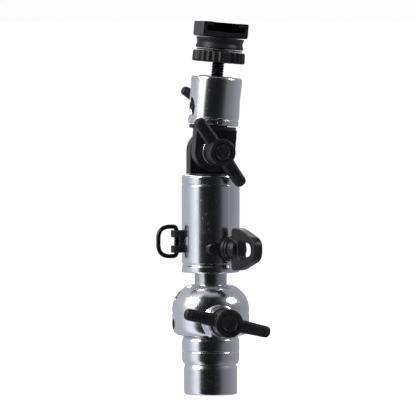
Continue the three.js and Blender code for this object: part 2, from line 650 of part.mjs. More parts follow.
/** A bowed leaf that grips a flash's foot, between the two screws. */
function shoeSpring() {
  const leaf = new THREE.Shape();
  const [half, rise, thickness] = [2.7, 0.9, 0.4];
  leaf.moveTo(-half, 0);
  leaf.quadraticCurveTo(0, 2 * rise, half, 0);
  leaf.lineTo(half, thickness);
  leaf.quadraticCurveTo(0, 2 * rise + thickness, -half, thickness);
  leaf.closePath();
  const across = new THREE.Matrix4().makeBasis(
    new THREE.Vector3(0, 1, 0),
    new THREE.Vector3(0, 0, 1),
    new THREE.Vector3(1, 0, 0),
  );
  return placed(plate(leaf, -5.5, 5.5), across).translate(0, 0, SHOE.floor + GAP);
}

function shoeScrew(side) {
  const { r, headR, offset, bottom } = SHOE_SCREW;
  const headTop = SHOE.floor - GAP;
  const screw = turned([
    [0, bottom], [r, bottom], [r, headTop - 1.5], [headR, headTop - 0.2], [headR, headTop], [0, headTop],
  ], SMALL);
  const slot = block([-headR - 1, -0.35, headTop - 0.7], [headR + 1, 0.35, headTop + 1]);
  return cut(screw, slot).translate(0, side * offset, 0);
}

function flashShoe(parent) {
  const washerTube = tube(SHOE_WASHER.r, STUD.r + GAP, SHOE_WASHER.bottom, SHOE_WASHER.top, MIDDLE);
  add(parent, 'shoe_washer', washerTube, fibre);
  add(parent, 'shoe_wheel', shoeWheel(), blackPlastic);
  add(parent, 'shoe_pedestal', shoePedestal(), blackPlastic);
  add(parent, 'shoe_frame', shoeFrame(), blackPaint);
  add(parent, 'shoe_spring', shoeSpring(), steel);
  add(parent, 'shoe_screw_front', shoeScrew(-1), darkSteel);
  add(parent, 'shoe_screw_rear', shoeScrew(1), darkSteel);
}

// ---------------------------------------------------------------- the bracket

const bracket = new THREE.Group();
const upright = groupAt(bracket, new THREE.Matrix4().makeTranslation(0, 0, -SOCKET_DEPTH));
standAdapter(upright);
standLockScrew(upright);
barrelGroup(upright);
keyLockScrew(upright);
cordRingGroup(upright);
tiltLockScrew(upright);

// The head leans to +X about the tilt joint's axis, as it is set in use.
const leaning = groupAt(upright, new THREE.Matrix4()
  .makeTranslation(0, 0, TILT.height)
  .multiply(new THREE.Matrix4().makeRotationY(degToRad(TILT.lean)))
  .multiply(new THREE.Matrix4().makeTranslation(0, 0, -TILT.height)));
headGroup(leaning);
umbrellaLockScrew(leaning);
flashShoe(leaning);

export default bracket;
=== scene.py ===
"""The looks of the umbrella swivel bracket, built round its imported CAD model.

Shapes are worked out in millimetres in a local frame for each piece, then stored in metres. The upright
pieces' frame is the row frame, whose origin is the seat of the stand socket. The head's frame has its origin
on the tilt joint and leans with the head. A lock screw's frame has +Z pointing out of the bracket.
"""

import json
from math import cos, pi, radians, sin, sqrt

import bmesh
import bpy
from mathutils import Matrix, Vector


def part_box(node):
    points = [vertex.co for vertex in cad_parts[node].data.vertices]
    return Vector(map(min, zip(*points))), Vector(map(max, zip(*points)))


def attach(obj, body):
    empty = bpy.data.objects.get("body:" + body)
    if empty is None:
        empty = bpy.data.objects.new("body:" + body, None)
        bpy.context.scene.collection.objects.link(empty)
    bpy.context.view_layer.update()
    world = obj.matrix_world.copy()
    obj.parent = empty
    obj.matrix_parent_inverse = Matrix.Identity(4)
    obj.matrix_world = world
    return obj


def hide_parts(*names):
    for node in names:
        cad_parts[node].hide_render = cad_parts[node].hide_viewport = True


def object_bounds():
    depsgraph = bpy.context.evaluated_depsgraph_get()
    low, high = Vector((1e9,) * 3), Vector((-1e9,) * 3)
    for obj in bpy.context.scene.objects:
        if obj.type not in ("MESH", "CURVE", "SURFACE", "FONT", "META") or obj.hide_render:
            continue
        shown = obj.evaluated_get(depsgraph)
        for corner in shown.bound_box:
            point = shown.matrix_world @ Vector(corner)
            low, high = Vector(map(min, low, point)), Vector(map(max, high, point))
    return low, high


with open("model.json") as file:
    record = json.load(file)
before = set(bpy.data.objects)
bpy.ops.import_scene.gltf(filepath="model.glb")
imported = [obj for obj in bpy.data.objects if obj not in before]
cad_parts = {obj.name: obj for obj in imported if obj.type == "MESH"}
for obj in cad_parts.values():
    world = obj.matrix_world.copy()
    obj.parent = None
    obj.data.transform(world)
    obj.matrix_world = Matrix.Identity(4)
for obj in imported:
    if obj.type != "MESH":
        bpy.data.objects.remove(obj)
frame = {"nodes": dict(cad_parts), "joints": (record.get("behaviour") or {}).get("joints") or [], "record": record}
cad_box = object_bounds()

MM = 0.001
GAP = 0.3          # between pieces that touch
ROUND = 144        # sides of a large turned piece
FINE = 96          # sides of a small one
COARSE = 48        # sides of a small screw or its hole

joints = {joint["name"]: joint for joint in frame["joints"]}
bodies = frame["record"]["behaviour"]["bodies"]
body_of = {node: body for body, nodes in bodies.items() for node in nodes}
slot_of = {part["node"]: part["material_slot"] for part in frame["record"]["subparts"]}


# ------------------------------------------------------------------ camera, light and stage

VIEW_AZIMUTH = -14.4   # degrees; the camera stands to the left of the front, as it does for the umbrella
VIEW_ELEVATION = 2.0
CAMERA_DISTANCE = 3.0
SHARE_OF_FRAME = 0.9   # how much of the picture's height the bracket takes


def make_camera():
    low, high = cad_box
    centre = (low + high) / 2
    azimuth, elevation = radians(VIEW_AZIMUTH), radians(VIEW_ELEVATION)
    back = Vector((sin(azimuth) * cos(elevation), -cos(azimuth) * cos(elevation), sin(elevation)))
    camera = bpy.data.cameras.new("camera")
    camera.sensor_width = 36
    camera.lens = camera.sensor_width * CAMERA_DISTANCE * SHARE_OF_FRAME / (high.z - low.z)
    camera.clip_start = 0.1
    camera.clip_end = 50
    holder = bpy.data.objects.new("camera", camera)
    bpy.context.scene.collection.objects.link(holder)
    holder.location = centre + back * CAMERA_DISTANCE
    holder.rotation_mode = "QUATERNION"
    holder.rotation_quaternion = (-back).to_track_quat("-Z", "Y")
    bpy.context.scene.camera = holder
    bpy.context.scene.view_settings.view_transform = "Standard"


def area_light(name, azimuth, elevation, distance, size, watts, colour=(1, 1, 1), mirrored=True):
    """A square lamp that looks at the bracket's middle from a direction given as a camera's is. One that
    isn't mirrored gives light, but metal doesn't show it."""
    low, high = cad_box
    a, e = radians(azimuth), radians(elevation)
    away = Vector((sin(a) * cos(e), -cos(a) * cos(e), sin(e)))
    lamp = bpy.data.lights.new(name, "AREA")
    lamp.size = size
    lamp.energy = watts
    lamp.color = colour
    holder = bpy.data.objects.new(name, lamp)
    holder.visible_glossy = mirrored
    bpy.context.scene.collection.objects.link(holder)
    holder.location = (low + high) / 2 + away * distance
    holder.rotation_mode = "QUATERNION"
    holder.rotation_quaternion = away.to_track_quat("Z", "Y")


def make_lights():
    """Each lamp's azimuth and elevation in degrees, distance and size in metres, watts and colour."""
    area_light("key_left", -80, 28, 0.9, 0.5, 7, (1.0, 0.99, 0.97))
    area_light("rim_right", 65, 32, 1.0, 0.3, 3.0, (0.93, 0.95, 1.0))
    area_light("top", 20, 75, 0.8, 0.4, 3, mirrored=False)
    area_light("rear", 170, 35, 1.1, 0.5, 4)


def make_world():
    """A pale studio. Only reflections see its dark front, between a bright left side and a grey right. The
    levels go by azimuth, in degrees from the front as a camera's is, and fade to one grey near overhead."""
    world = bpy.data.worlds.new("studio")
    bpy.context.scene.world = world
    world.use_nodes = True
    tree = world.node_tree
    tree.nodes.clear()
    direction = tree.nodes.new("ShaderNodeTexCoord")
    parts = tree.nodes.new("ShaderNodeSeparateXYZ")
    front = tree.nodes.new("ShaderNodeMath")
    front.operation = "MULTIPLY"
    front.inputs[1].default_value = -1
    angle = tree.nodes.new("ShaderNodeMath")
    angle.operation = "ARCTAN2"
    share = tree.nodes.new("ShaderNodeMapRange")
    share.inputs["From Min"].default_value = -pi
    share.inputs["From Max"].default_value = pi
    round_about = tree.nodes.new("ShaderNodeValToRGB")
    levels_round_about = [
        (-180, 0.5), (-110, 0.55), (-82, 1.1), (-68, 1.15), (-59, 0.05), (-44, 0.01), (0, 0.01),
        (22, 0.03), (38, 0.17), (68, 0.26), (95, 0.34), (180, 0.5),
    ]
    ramp = round_about.color_ramp
    ramp.elements.remove(ramp.elements[1])
    for i, (degrees, level) in enumerate(levels_round_about):
        position = (degrees + 180) / 360
        element = ramp.elements[0] if i == 0 else ramp.elements.new(position)
        element.position = position
        element.color = (level * 0.965, level * 0.98, level * 1.03, 1)
    above = tree.nodes.new("ShaderNodeMapRange")
    above.inputs["From Min"].default_value = 0.85
    above.inputs["From Max"].default_value = 1.0
    overhead = tree.nodes.new("ShaderNodeMix")
    overhead.data_type = "RGBA"
    overhead.inputs["B"].default_value = (0.5, 0.5, 0.51, 1)
    rays = tree.nodes.new("ShaderNodeLightPath")
    lit = tree.nodes.new("ShaderNodeBackground")
    seen = tree.nodes.new("ShaderNodeBackground")
    seen.inputs["Color"].default_value = (0.98, 0.982, 0.99, 1)
    choose = tree.nodes.new("ShaderNodeMixShader")
    out = tree.nodes.new("ShaderNodeOutputWorld")
    link = tree.links.new
    link(direction.outputs["Generated"], parts.inputs[0])
    link(parts.outputs["Y"], front.inputs[0])
    link(parts.outputs["X"], angle.inputs[0])
    link(front.outputs[0], angle.inputs[1])
    link(angle.outputs[0], share.inputs["Value"])
    link(share.outputs[0], round_about.inputs[0])
    link(parts.outputs["Z"], above.inputs["Value"])
    link(above.outputs[0], overhead.inputs["Factor"])
    link(round_about.outputs[0], overhead.inputs["A"])
    link(overhead.outputs["Result"], lit.inputs["Color"])
    link(rays.outputs["Is Camera Ray"], choose.inputs[0])
    link(lit.outputs[0], choose.inputs[1])
    link(seen.outputs[0], choose.inputs[2])
    link(choose.outputs[0], out.inputs[0])


def make_floor():
    """A pale floor at the socket's rim. Metal doesn't mirror it, as on a stand there is none so near."""
    reach = 40.0
    clearance = 0.0002
    floor_z = cad_box[0].z - clearance
    mesh = bpy.data.meshes.new("floor")
    corners = [(x * reach, y * reach, floor_z) for x, y in ((-1, -1), (1, -1), (1, 1), (-1, 1))]
    mesh.from_pydata(corners, [], [(0, 1, 2, 3)])
    material = bpy.data.materials.new("floor")
    material.use_nodes = True
    shader = material.node_tree.nodes["Principled BSDF"]
    shader.inputs["Base Color"].default_value = (0.86, 0.865, 0.875, 1)
    shader.inputs["Roughness"].default_value = 0.65
    shader.inputs["Emission Color"].default_value = (0.98, 0.985, 1.0, 1)
    shader.inputs["Emission Strength"].default_value = 0.68
    mesh.materials.append(material)
    floor = bpy.data.objects.new("floor", mesh)
    floor.visible_glossy = False
    bpy.context.scene.collection.objects.link(floor)


# ------------------------------------------------------------------ materials

class Surface:
    """A material under construction: its shader, and short ways to add nodes."""

    BLACK_SPECULAR = 0.26   # for both blacks, which are duller than bare plastic

    def __init__(self, name):
        self.material = bpy.data.materials.new(name)
        self.material.use_nodes = True
        self.tree = self.material.node_tree
        self.shader = self.tree.nodes["Principled BSDF"]
        self.place = self.node("ShaderNodeTexCoord").outputs["Object"]

    def node(self, kind, **settings):
        made = self.tree.nodes.new(kind)
        for key, value in settings.items():
            setattr(made, key, value)
        return made

    def link(self, output, socket):
        self.tree.links.new(output, socket)

    def noise(self, stretch, detail=4.0, roughness=0.55):
        """Noise from 0 to 1, with that many features to a metre along each axis."""
        mapping = self.node("ShaderNodeMapping")
        mapping.inputs["Scale"].default_value = stretch
        self.link(self.place, mapping.inputs["Vector"])
        texture = self.node("ShaderNodeTexNoise")
        texture.inputs["Scale"].default_value = 1.0
        texture.inputs["Detail"].default_value = detail
        texture.inputs["Roughness"].default_value = roughness
        self.link(mapping.outputs[0], texture.inputs["Vector"])
        return texture.outputs["Fac"]

    def ramp(self, value, low, high, low_level=0.0, high_level=1.0):
        """Value between two limits, spread over two levels and held at them outside."""
        spread = self.node("ShaderNodeMapRange")
        for key, number in (
            ("From Min", low), ("From Max", high), ("To Min", low_level), ("To Max", high_level),
        ):
            spread.inputs[key].default_value = number
        self.link(value, spread.inputs["Value"])
        return spread.outputs[0]

    def mix(self, factor, first, second):
        """A colour between two, each an output or a colour."""
        blend = self.node("ShaderNodeMix", data_type="RGBA")
        self.link(factor, blend.inputs["Factor"])
        for key, colour in (("A", first), ("B", second)):
            if isinstance(colour, tuple):
                blend.inputs[key].default_value = (*colour, 1)
            else:
                self.link(colour, blend.inputs[key])
        return blend.outputs["Result"]

    def maths(self, operation, first, second):
        sum_node = self.node("ShaderNodeMath", operation=operation)
        for socket, value in zip(sum_node.inputs, (first, second)):
            if isinstance(value, (int, float)):
                socket.default_value = value
            else:
                self.link(value, socket)
        return sum_node.outputs[0]

    def edges(self, low, high):
        """How far a spot stands out on an edge, from 0 to 1."""
        return self.ramp(self.node("ShaderNodeNewGeometry").outputs["Pointiness"], low, high)

    def bump(self, height, depth_mm, under=None):
        """Raises the surface by up to that depth, on top of an earlier bump."""
        made = self.node("ShaderNodeBump")
        made.inputs["Strength"].default_value = 1.0
        made.inputs["Distance"].default_value = depth_mm * MM
        self.link(height, made.inputs["Height"])
        if under is not None:
            self.link(under, made.inputs["Normal"])
        return made.outputs[0]

    def finish(self, colour, roughness, normal):
        self.link(colour, self.shader.inputs["Base Color"])
        self.link(roughness, self.shader.inputs["Roughness"])
        self.link(normal, self.shader.inputs["Normal"])
        return self.material


def turned_metal(name, pale, dull, polish, line_depth, anisotropy=0.0):
    """Metal turned in a lathe: fine rings round Z, uneven polish, a few handling marks, bright edges."""
    s = Surface(name)
    s.shader.inputs["Metallic"].default_value = 1.0
    if anisotropy:
        s.shader.inputs["Anisotropic"].default_value = anisotropy
        tangent = s.node("ShaderNodeTangent", direction_type="RADIAL", axis="Z")
        s.link(tangent.outputs[0], s.shader.inputs["Tangent"])
    rings = s.noise((30, 30, 5200), detail=3)
    smears = s.noise((70, 70, 45), detail=5)
    marks = s.noise((900, 260, 420), detail=2)
    colour = s.mix(s.ramp(smears, 0.3, 0.7), pale, dull)
    rubbed = tuple(min(1, part * 1.25) for part in pale)
    colour = s.mix(s.maths("MULTIPLY", s.edges(0.52, 0.6), 0.6), colour, rubbed)
    uneven = s.ramp(smears, 0.25, 0.75, polish - 0.05, polish + 0.07)
    rough = s.maths("ADD", uneven, s.ramp(rings, 0, 1, -0.04, 0.04))
    rough = s.maths("ADD", rough, s.ramp(marks, 0.62, 0.72, 0, 0.1))
    normal = s.bump(rings, line_depth)
    normal = s.bump(s.ramp(marks, 0.66, 0.74), 0.006, normal)
    return s.finish(colour, rough, normal)


def black_paint(name):
    """Satin powder coat: orange peel, a little dust, and edges rubbed to grey."""
    s = Surface(name)
    s.shader.inputs["Metallic"].default_value = 0.0
    s.shader.inputs["Specular IOR Level"].default_value = Surface.BLACK_SPECULAR
    peel = s.noise((1500, 1500, 1500), detail=2)
    dust = s.noise((90, 90, 90), detail=6)
    chips = s.noise((1100, 1100, 1100), detail=3)
    colour = s.mix(s.ramp(dust, 0.35, 0.8), (0.0045, 0.0045, 0.0058), (0.012, 0.012, 0.015))
    rubbed = s.maths("MULTIPLY", s.edges(0.54, 0.64), s.ramp(chips, 0.42, 0.62))
    colour = s.mix(rubbed, colour, (0.07, 0.07, 0.077))
    rough = s.maths("ADD", s.ramp(dust, 0.3, 0.8, 0.3, 0.44), s.ramp(peel, 0.3, 0.7, -0.03, 0.03))
    return s.finish(colour, rough, s.bump(peel, 0.02))


def black_plastic(name):
    """Moulded plastic with a fine spark-eroded grain, polished by fingers where it stands out."""
    s = Surface(name)
    s.shader.inputs["Specular IOR Level"].default_value = Surface.BLACK_SPECULAR
    grain = s.node("ShaderNodeTexVoronoi")
    mapping = s.node("ShaderNodeMapping")
    mapping.inputs["Scale"].default_value = (2600, 2600, 2600)
    s.link(s.place, mapping.inputs["Vector"])
    grain.inputs["Scale"].default_value = 1.0
    s.link(mapping.outputs[0], grain.inputs["Vector"])
    handled = s.noise((110, 110, 110), detail=4)
    scuffs = s.noise((240, 1500, 700), detail=2)
    colour = s.mix(s.ramp(handled, 0.35, 0.75), (0.004, 0.004, 0.005), (0.0095, 0.0095, 0.0115))
    colour = s.mix(s.ramp(scuffs, 0.68, 0.8), colour, (0.032, 0.032, 0.037))
    worn = s.edges(0.5, 0.62)
    rough = s.maths("SUBTRACT", s.ramp(handled, 0.3, 0.75, 0.34, 0.48), s.maths("MULTIPLY", worn, 0.12))
    normal = s.bump(grain.outputs["Distance"], 0.012)
    return s.finish(colour, rough, normal)


def nylon(name):
    """Natural nylon: milky, slightly translucent, with faint drawing lines."""
    s = Surface(name)
    s.shader.inputs["Subsurface Weight"].default_value = 0.15
    s.shader.inputs["Subsurface Radius"].default_value = (0.001, 0.001, 0.001)
    lines = s.noise((40, 40, 2600), detail=2)
    stain = s.noise((120, 120, 80), detail=5)
    colour = s.mix(s.ramp(stain, 0.35, 0.75), (0.70, 0.69, 0.63), (0.52, 0.50, 0.44))
    return s.finish(colour, s.ramp(lines, 0.2, 0.8, 0.42, 0.6), s.bump(lines, 0.01))


def fibre(name):
    """Dark friction fibre: flecks and short hairs in a matt binder."""
    s = Surface(name)
    fleck = s.noise((1400, 1400, 1400), detail=3)
    hair = s.noise((3000, 300, 900), detail=2)
    colour = s.mix(s.ramp(fleck, 0.4, 0.65), (0.022, 0.018, 0.016), (0.045, 0.036, 0.03))
    colour = s.mix(s.ramp(hair, 0.62, 0.7), colour, (0.09, 0.07, 0.05))
    return s.finish(colour, s.ramp(fleck, 0.3, 0.7, 0.75, 0.95), s.bump(fleck, 0.03))


finishes = {
    "satin_silver": turned_metal(
        "satin_silver", (0.80, 0.81, 0.86), (0.70, 0.71, 0.77), 0.17, 0.0035, anisotropy=0.35),
    "bright_steel": turned_metal("bright_steel", (0.62, 0.63, 0.65), (0.47, 0.48, 0.51), 0.22, 0.003),
    "dark_steel": turned_metal("dark_steel", (0.055, 0.055, 0.062), (0.03, 0.03, 0.035), 0.3, 0.004),
    "brass": turned_metal("brass", (0.72, 0.53, 0.24), (0.5, 0.36, 0.16), 0.28, 0.005),
    "black_paint": black_paint("black_paint"),
    "black_plastic": black_plastic("black_plastic"),
    "nylon": nylon("nylon"),
    "fibre": fibre("fibre"),
}


# ------------------------------------------------------------------ shape tools

def soften(points, closed=False, steps=5, share=0.4):
    """An outline in which each corner (x, y, rounding) becomes a short curve with a support point on
    either side, so that smooth shading stays flat on the faces between. No curve takes more than its share
    of the sides that it joins."""
    outline = []
    for i, (x, y, *rounding) in enumerate(points):
        here = Vector((x, y))
        at_end = i in (0, len(points) - 1) and not closed
        if not rounding or at_end:
            outline.append((x, y))
            continue
        before = Vector(points[i - 1][:2]) - here
        after = Vector(points[(i + 1) % len(points)][:2]) - here
        size = min(rounding[0], share * before.length, share * after.length)
        start = before.normalized() * size
        end = after.normalized() * size
        curve = [start * (1 - t) ** 2 + end * t ** 2 for t in (k / steps for k in range(steps + 1))]
        outline += [(here + spot)[:] for spot in (start * 1.15, *curve, end * 1.15)]
    return outline


def finished(bm):
    """A mesh from a bmesh, its faces turned outwards and smooth between real edges."""
    bmesh.ops.remove_doubles(bm, verts=bm.verts, dist=1e-8)
    bmesh.ops.recalc_face_normals(bm, faces=bm.faces)
    mesh = bpy.data.meshes.new("shape")
    bm.to_mesh(mesh)
    bm.free()
    return smooth(mesh)


def smooth(mesh, angle=32):
    mesh.shade_smooth()
    mesh.set_sharp_from_angle(angle=radians(angle))
    return mesh


def revolve(profile, segments=ROUND, closed=False, reach=None):
    """A profile of (radius, height) in millimetres turned about Z. It starts and ends on the axis, or is
    closed on itself. reach(angle, radius) may change the radius round the turn."""
    bm = bmesh.new()
    angles = [2 * pi * i / segments for i in range(segments)]
    rings = []
    for r, z in profile:
        if r < 1e-6:
            rings.append([bm.verts.new((0, 0, z * MM))])
        else:
            radii = [reach(a, r) if reach else r for a in angles]
            rings.append([
                bm.verts.new((radius * cos(a) * MM, radius * sin(a) * MM, z * MM))
                for radius, a in zip(radii, angles)
            ])
    following = rings[1:] + (rings[:1] if closed else [])
    for lower, upper in zip(rings, following):
        for i in range(segments):
            j = (i + 1) % segments
            around = (
                lower[i % len(lower)], lower[j % len(lower)],
                upper[j % len(upper)], upper[i % len(upper)],
            )
            corners = list(dict.fromkeys(around))
            if len(corners) > 2:
                bm.faces.new(corners)
    return finished(bm)


def groove(r, low, depth=0.3):
    """The outline of a shallow groove in a turned side, from its lower edge up."""
    return [(r, low, 0.1), (r - depth, low + 0.3, 0.1), (r - depth, low + 0.7, 0.1), (r, low + 1.0, 0.1)]


def rod(r, low, high, edge=0.0, segments=FINE):
    """A round bar about Z with softened ends."""
    return revolve(soften([(0, low), (r, low, edge), (r, high, edge), (0, high)]), segments)


def ring(r, bore, low, high, edge=0.2, segments=FINE):
    """A round ring about Z with softened edges."""
    return revolve(soften([
        (bore, low, edge), (r, low, edge), (r, high, edge), (bore, high, edge),
    ], closed=True), segments, closed=True)


def slab(outline, low, high, edge=0.4):
    """A closed outline in XY between two heights, all its edges rounded."""
    bm = bmesh.new()
    side = soften([(0, low), (edge, low, edge), (edge, high, edge), (0, high)]) if edge else []
    inward = inset_directions(outline)
    heights = [(edge - x, z) for x, z in side[1:-1]] if edge else [(0, low), (0, high)]
    rings = [
        [bm.verts.new(((x + dx * inset) * MM, (y + dy * inset) * MM, z * MM))
         for (x, y), (dx, dy) in zip(outline, inward)]
        for inset, z in heights
    ]
    for lower, upper in zip(rings, rings[1:]):
        for i, vert in enumerate(lower):
            j = (i + 1) % len(lower)
            bm.faces.new((vert, lower[j], upper[j], upper[i]))
    for cap in (rings[0], rings[-1]):
        bm.faces.new(cap)
    bmesh.ops.triangulate(bm, faces=[face for face in bm.faces if len(face.verts) > 4])
    return finished(bm)


def inset_directions(outline):
    """For each corner of an anticlockwise outline, the step that moves both its sides in by one."""
    steps = []
    for i, corner in enumerate(outline):
        here = Vector(corner)
        before = (here - Vector(outline[i - 1])).normalized()
        after = (Vector(outline[(i + 1) % len(outline)]) - here).normalized()
        sides = Vector((-before.y, before.x)) + Vector((-after.y, after.x))
        steps.append(sides / max(0.35, 0.5 * sides.length_squared))
    return steps


def with_modifiers(mesh, *modifiers):
    """The mesh after the modifiers, each a kind and its settings, as a new mesh."""
    scratch = bpy.data.objects.new("scratch", mesh)
    bpy.context.scene.collection.objects.link(scratch)
    for kind, settings in modifiers:
        modifier = scratch.modifiers.new(kind, kind)
        for key, value in settings.items():
            setattr(modifier, key, value)
    graph = bpy.context.evaluated_depsgraph_get()
    made = bpy.data.meshes.new_from_object(scratch.evaluated_get(graph), depsgraph=graph)
    bpy.data.objects.remove(scratch)
    return made


def combine(mesh, operation, *others):
    """The mesh joined with, cut by or cut down to each of the others in turn. All of them are closed."""
    for other in others:
        tool = bpy.data.objects.new("tool", other)
        bpy.context.scene.collection.objects.link(tool)
        settings = {"operation": operation, "object": tool, "solver": "MANIFOLD"}
        mesh = with_modifiers(mesh, ("BOOLEAN", settings))
        bpy.data.objects.remove(tool)
    return smooth(mesh)


def moved(mesh, matrix):
    """A copy of a mesh, moved by a matrix in metres."""
    copy = mesh.copy()
    copy.transform(matrix)
    if matrix.determinant() < 0:
        copy.flip_normals()
    return copy


def together(*meshes):
    """Several closed meshes as one, left overlapping until moulded() makes them one skin."""
    bm = bmesh.new()
    for mesh in meshes:
        bm.from_mesh(mesh)
    mesh = bpy.data.meshes.new("shape")
    bm.to_mesh(mesh)
    bm.free()
    return mesh


def moulded(mesh, voxel=0.3, passes=5):
    """Overlapping closed shapes grown into one skin with soft inner and outer corners."""
    skin = with_modifiers(
        mesh,
        ("REMESH", {"mode": "VOXEL", "voxel_size": voxel * MM, "use_smooth_shade": True}),
        ("SMOOTH", {"factor": 0.5, "iterations": passes}),
    )
    skin.shade_smooth()
    return skin


def shift(x=0.0, y=0.0, z=0.0):
    return Matrix.Translation(Vector((x, y, z)) * MM)


def turn(degrees, axis):
    return Matrix.Rotation(radians(degrees), 4, axis)


def thread(r, depth, pitch, low, high, segments=COARSE, rows=8):
    """A right-hand thread about Z, cut square at both ends."""
    bm = bmesh.new()
    turns = int((high - low) / pitch) + 3
    columns = []
    for i in range(segments):
        angle = 2 * pi * i / segments
        column = []
        for j in range(turns * rows + 1):
            crest = abs(2 * (j % rows) / rows - 1) ** 1.3
            radius = (r - depth * (1 - crest)) * MM
            z = (low + (j / rows + i / segments - 1.5) * pitch) * MM
            column.append(bm.verts.new((radius * cos(angle), radius * sin(angle), z)))
        columns.append(column)
    for i, column in enumerate(columns):
        last = i == segments - 1
        beside = columns[0] if last else columns[i + 1]
        raised = rows if last else 0
        for j in range(turns * rows - raised):
            bm.faces.new((column[j], beside[j + raised], beside[j + raised + 1], column[j + 1]))
    for height, up in ((low, -1), (high, 1)):
        everything = list(bm.verts) + list(bm.edges) + list(bm.faces)
        cut = bmesh.ops.bisect_plane(
            bm, geom=everything, plane_co=(0, 0, height * MM), plane_no=(0, 0, up), clear_outer=True)
        rim = [part for part in cut["geom_cut"] if isinstance(part, bmesh.types.BMEdge)]
        bmesh.ops.holes_fill(bm, edges=rim, sides=0)
    bmesh.ops.triangulate(bm, faces=[face for face in bm.faces if len(face.verts) > 4])
    return finished(bm)


# ------------------------------------------------------------------ frames and pieces

UPRIGHT = Matrix.Identity(4)


def frame_at(origin, out, up):
    """A frame at a point, with Z along out and Y as near to up as it can be."""
    z = Vector(out).normalized()
    x = Vector(up).cross(z).normalized()
    y = z.cross(x)
    columns = Matrix((x, y, z)).transposed().to_4x4()
    return Matrix.Translation(Vector(origin)) @ columns


def frame_across(height, out=1):
    """A frame on the bracket's axis at a height in millimetres, with Z along X or against it."""
    return frame_at((0, 0, height * MM), (out, 0, 0), (0, 0, 1))


tilt_point = Vector(joints["tilt"]["pos_m"])
head_axis = Vector(joints["shoe_swivel"]["axis"])
HEAD = frame_at(tilt_point, head_axis, (0, 1, 0))
TILT_SCREW = frame_at(tilt_point, joints["tilt_lock_turn"]["axis"], (0, 0, 1))
TILT_FRONT = frame_at(tilt_point, (0, -1, 0), (0, 0, 1))
LEANING_FRONT = frame_at(tilt_point, (0, -1, 0), head_axis)
STAND_SCREW = frame_at(joints["stand_lock_turn"]["pos_m"], joints["stand_lock_turn"]["axis"], (0, 0, 1))
KEY_SCREW = frame_at(joints["barrel_key_turn"]["pos_m"], joints["barrel_key_turn"]["axis"], (0, 0, 1))
SHAFT_SCREW = frame_at(joints["shaft_lock_turn"]["pos_m"], joints["shaft_lock_turn"]["axis"], head_axis)

SOCKET_R = 8.3               # the stand socket's bore
SHOE_HOLE_R = 4.5            # the hole that the stand lock's shoe slides in
STAND_BOSS_END = 23.5        # from the socket's axis
ROLL_PIN_R = 1.8
M6_HOLE_R = 3.3
CHEEK_R, CHEEK_THICK, CHEEK_SPLIT = 10.2, 8.2, 0.8   # the split is between the middle and either cheek

M8_THREAD = (4.0, 0.6, 1.25)             # radius, depth and pitch
M6_THREAD = (3.0, 0.45, 1.0)
M5_THREAD = (2.5, 0.4, 0.8)
QUARTER_INCH_THREAD = (3.2, 0.5, 1.27)


TURNED = ("satin_silver", "bright_steel", "dark_steel", "brass")   # finishes with rings round the piece's Z


def piece(node, mesh, place=UPRIGHT):
    """The fine piece that stands for a CAD node: it has that node's body, finish and slot. Only a turned
    finish needs the piece's own frame. Any other piece is put in place in its mesh, which keeps its box
    tight."""
    if slot_of[node] not in TURNED:
        mesh.transform(place)
        place = UPRIGHT
    made = bpy.data.objects.new(f"fine_{node}", mesh)
    bpy.context.scene.collection.objects.link(made)
    made.matrix_world = place
    mesh.materials.clear()
    mesh.materials.append(finishes[slot_of[node]])
    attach(made, body_of[node])
    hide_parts(node)
    return made


def levels(node):
    """A node's lowest and highest point and its half width along X, in millimetres."""
    low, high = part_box(node)
    return low[2] / MM, high[2] / MM, (high[0] - low[0]) / 2 / MM


# ------------------------------------------------------------------ small fasteners and grips

def hex_hole(across, low, high):
    """A hexagonal socket to cut with."""
    angles = [radians(60 * k + 30) for k in range(6)]
    return slab([(across / sqrt(3) * cos(a), across / sqrt(3) * sin(a)) for a in angles], low, high, edge=0)


def set_screw(r, low, high):
    """A set screw with a threaded side and a hexagonal socket."""
    body = thread(r, 0.22, 0.8, low, high - 0.3)
    crown = rod(r - 0.12, high - 0.6, high, 0.25, COARSE)
    return combine(combine(body, "UNION", crown), "DIFFERENCE", hex_hole(r * 1.05, high - 1.8, high + 1))


def hex_head(across, low, high):
    """A hexagonal bolt head, its corners taken off by a cone at the outer end."""
    prism = hex_hole(across, low, high)
    outer = across / 2
    cone = revolve([
        (0, low - 1), (outer * 1.3, low - 1), (outer * 1.3, high - 1.15), (outer * 0.94, high + 0.001),
        (0, high + 0.001),
    ], FINE)
    return combine(prism, "INTERSECT", cone)


def grip_bar(span, width, depth, low):
    """A bar along X with round-cornered sections that narrows to blunt tips."""
    bm = bmesh.new()
    stations, sides, square = 40, 40, 3.2
    half = span / 2
    middle = low + depth / 2
    rings = []
    for i in range(stations + 1):
        x = -half * cos(pi * i / stations)
        along = abs(x) / half
        tip = max(0.0, (abs(x) - (half - width * 0.38)) / (width * 0.38))
        blunt = max(0.08, sqrt(max(0.0, 1 - tip ** 2.2)))
        flare = 1.0 - 0.26 * along + 0.1 * along ** 4
        w = width / 2 * flare * blunt
        d = depth / 2 * (1 - 0.12 * along) * blunt
        ring_verts = []
        for k in range(sides):
            a = 2 * pi * k / sides
            c, s = cos(a), sin(a)
            bulge = (abs(c) ** square + abs(s) ** square) ** (-1 / square)
            ring_verts.append(bm.verts.new((x * MM, w * bulge * c * MM, (middle + d * bulge * s) * MM)))
        rings.append(ring_verts)
    for one, two in zip(rings, rings[1:]):
        for k in range(sides):
            n = (k + 1) % sides
            bm.faces.new((one[k], one[n], two[n], two[k]))
    bm.faces.new(rings[0])
    bm.faces.new(rings[-1])
    return finished(bm)


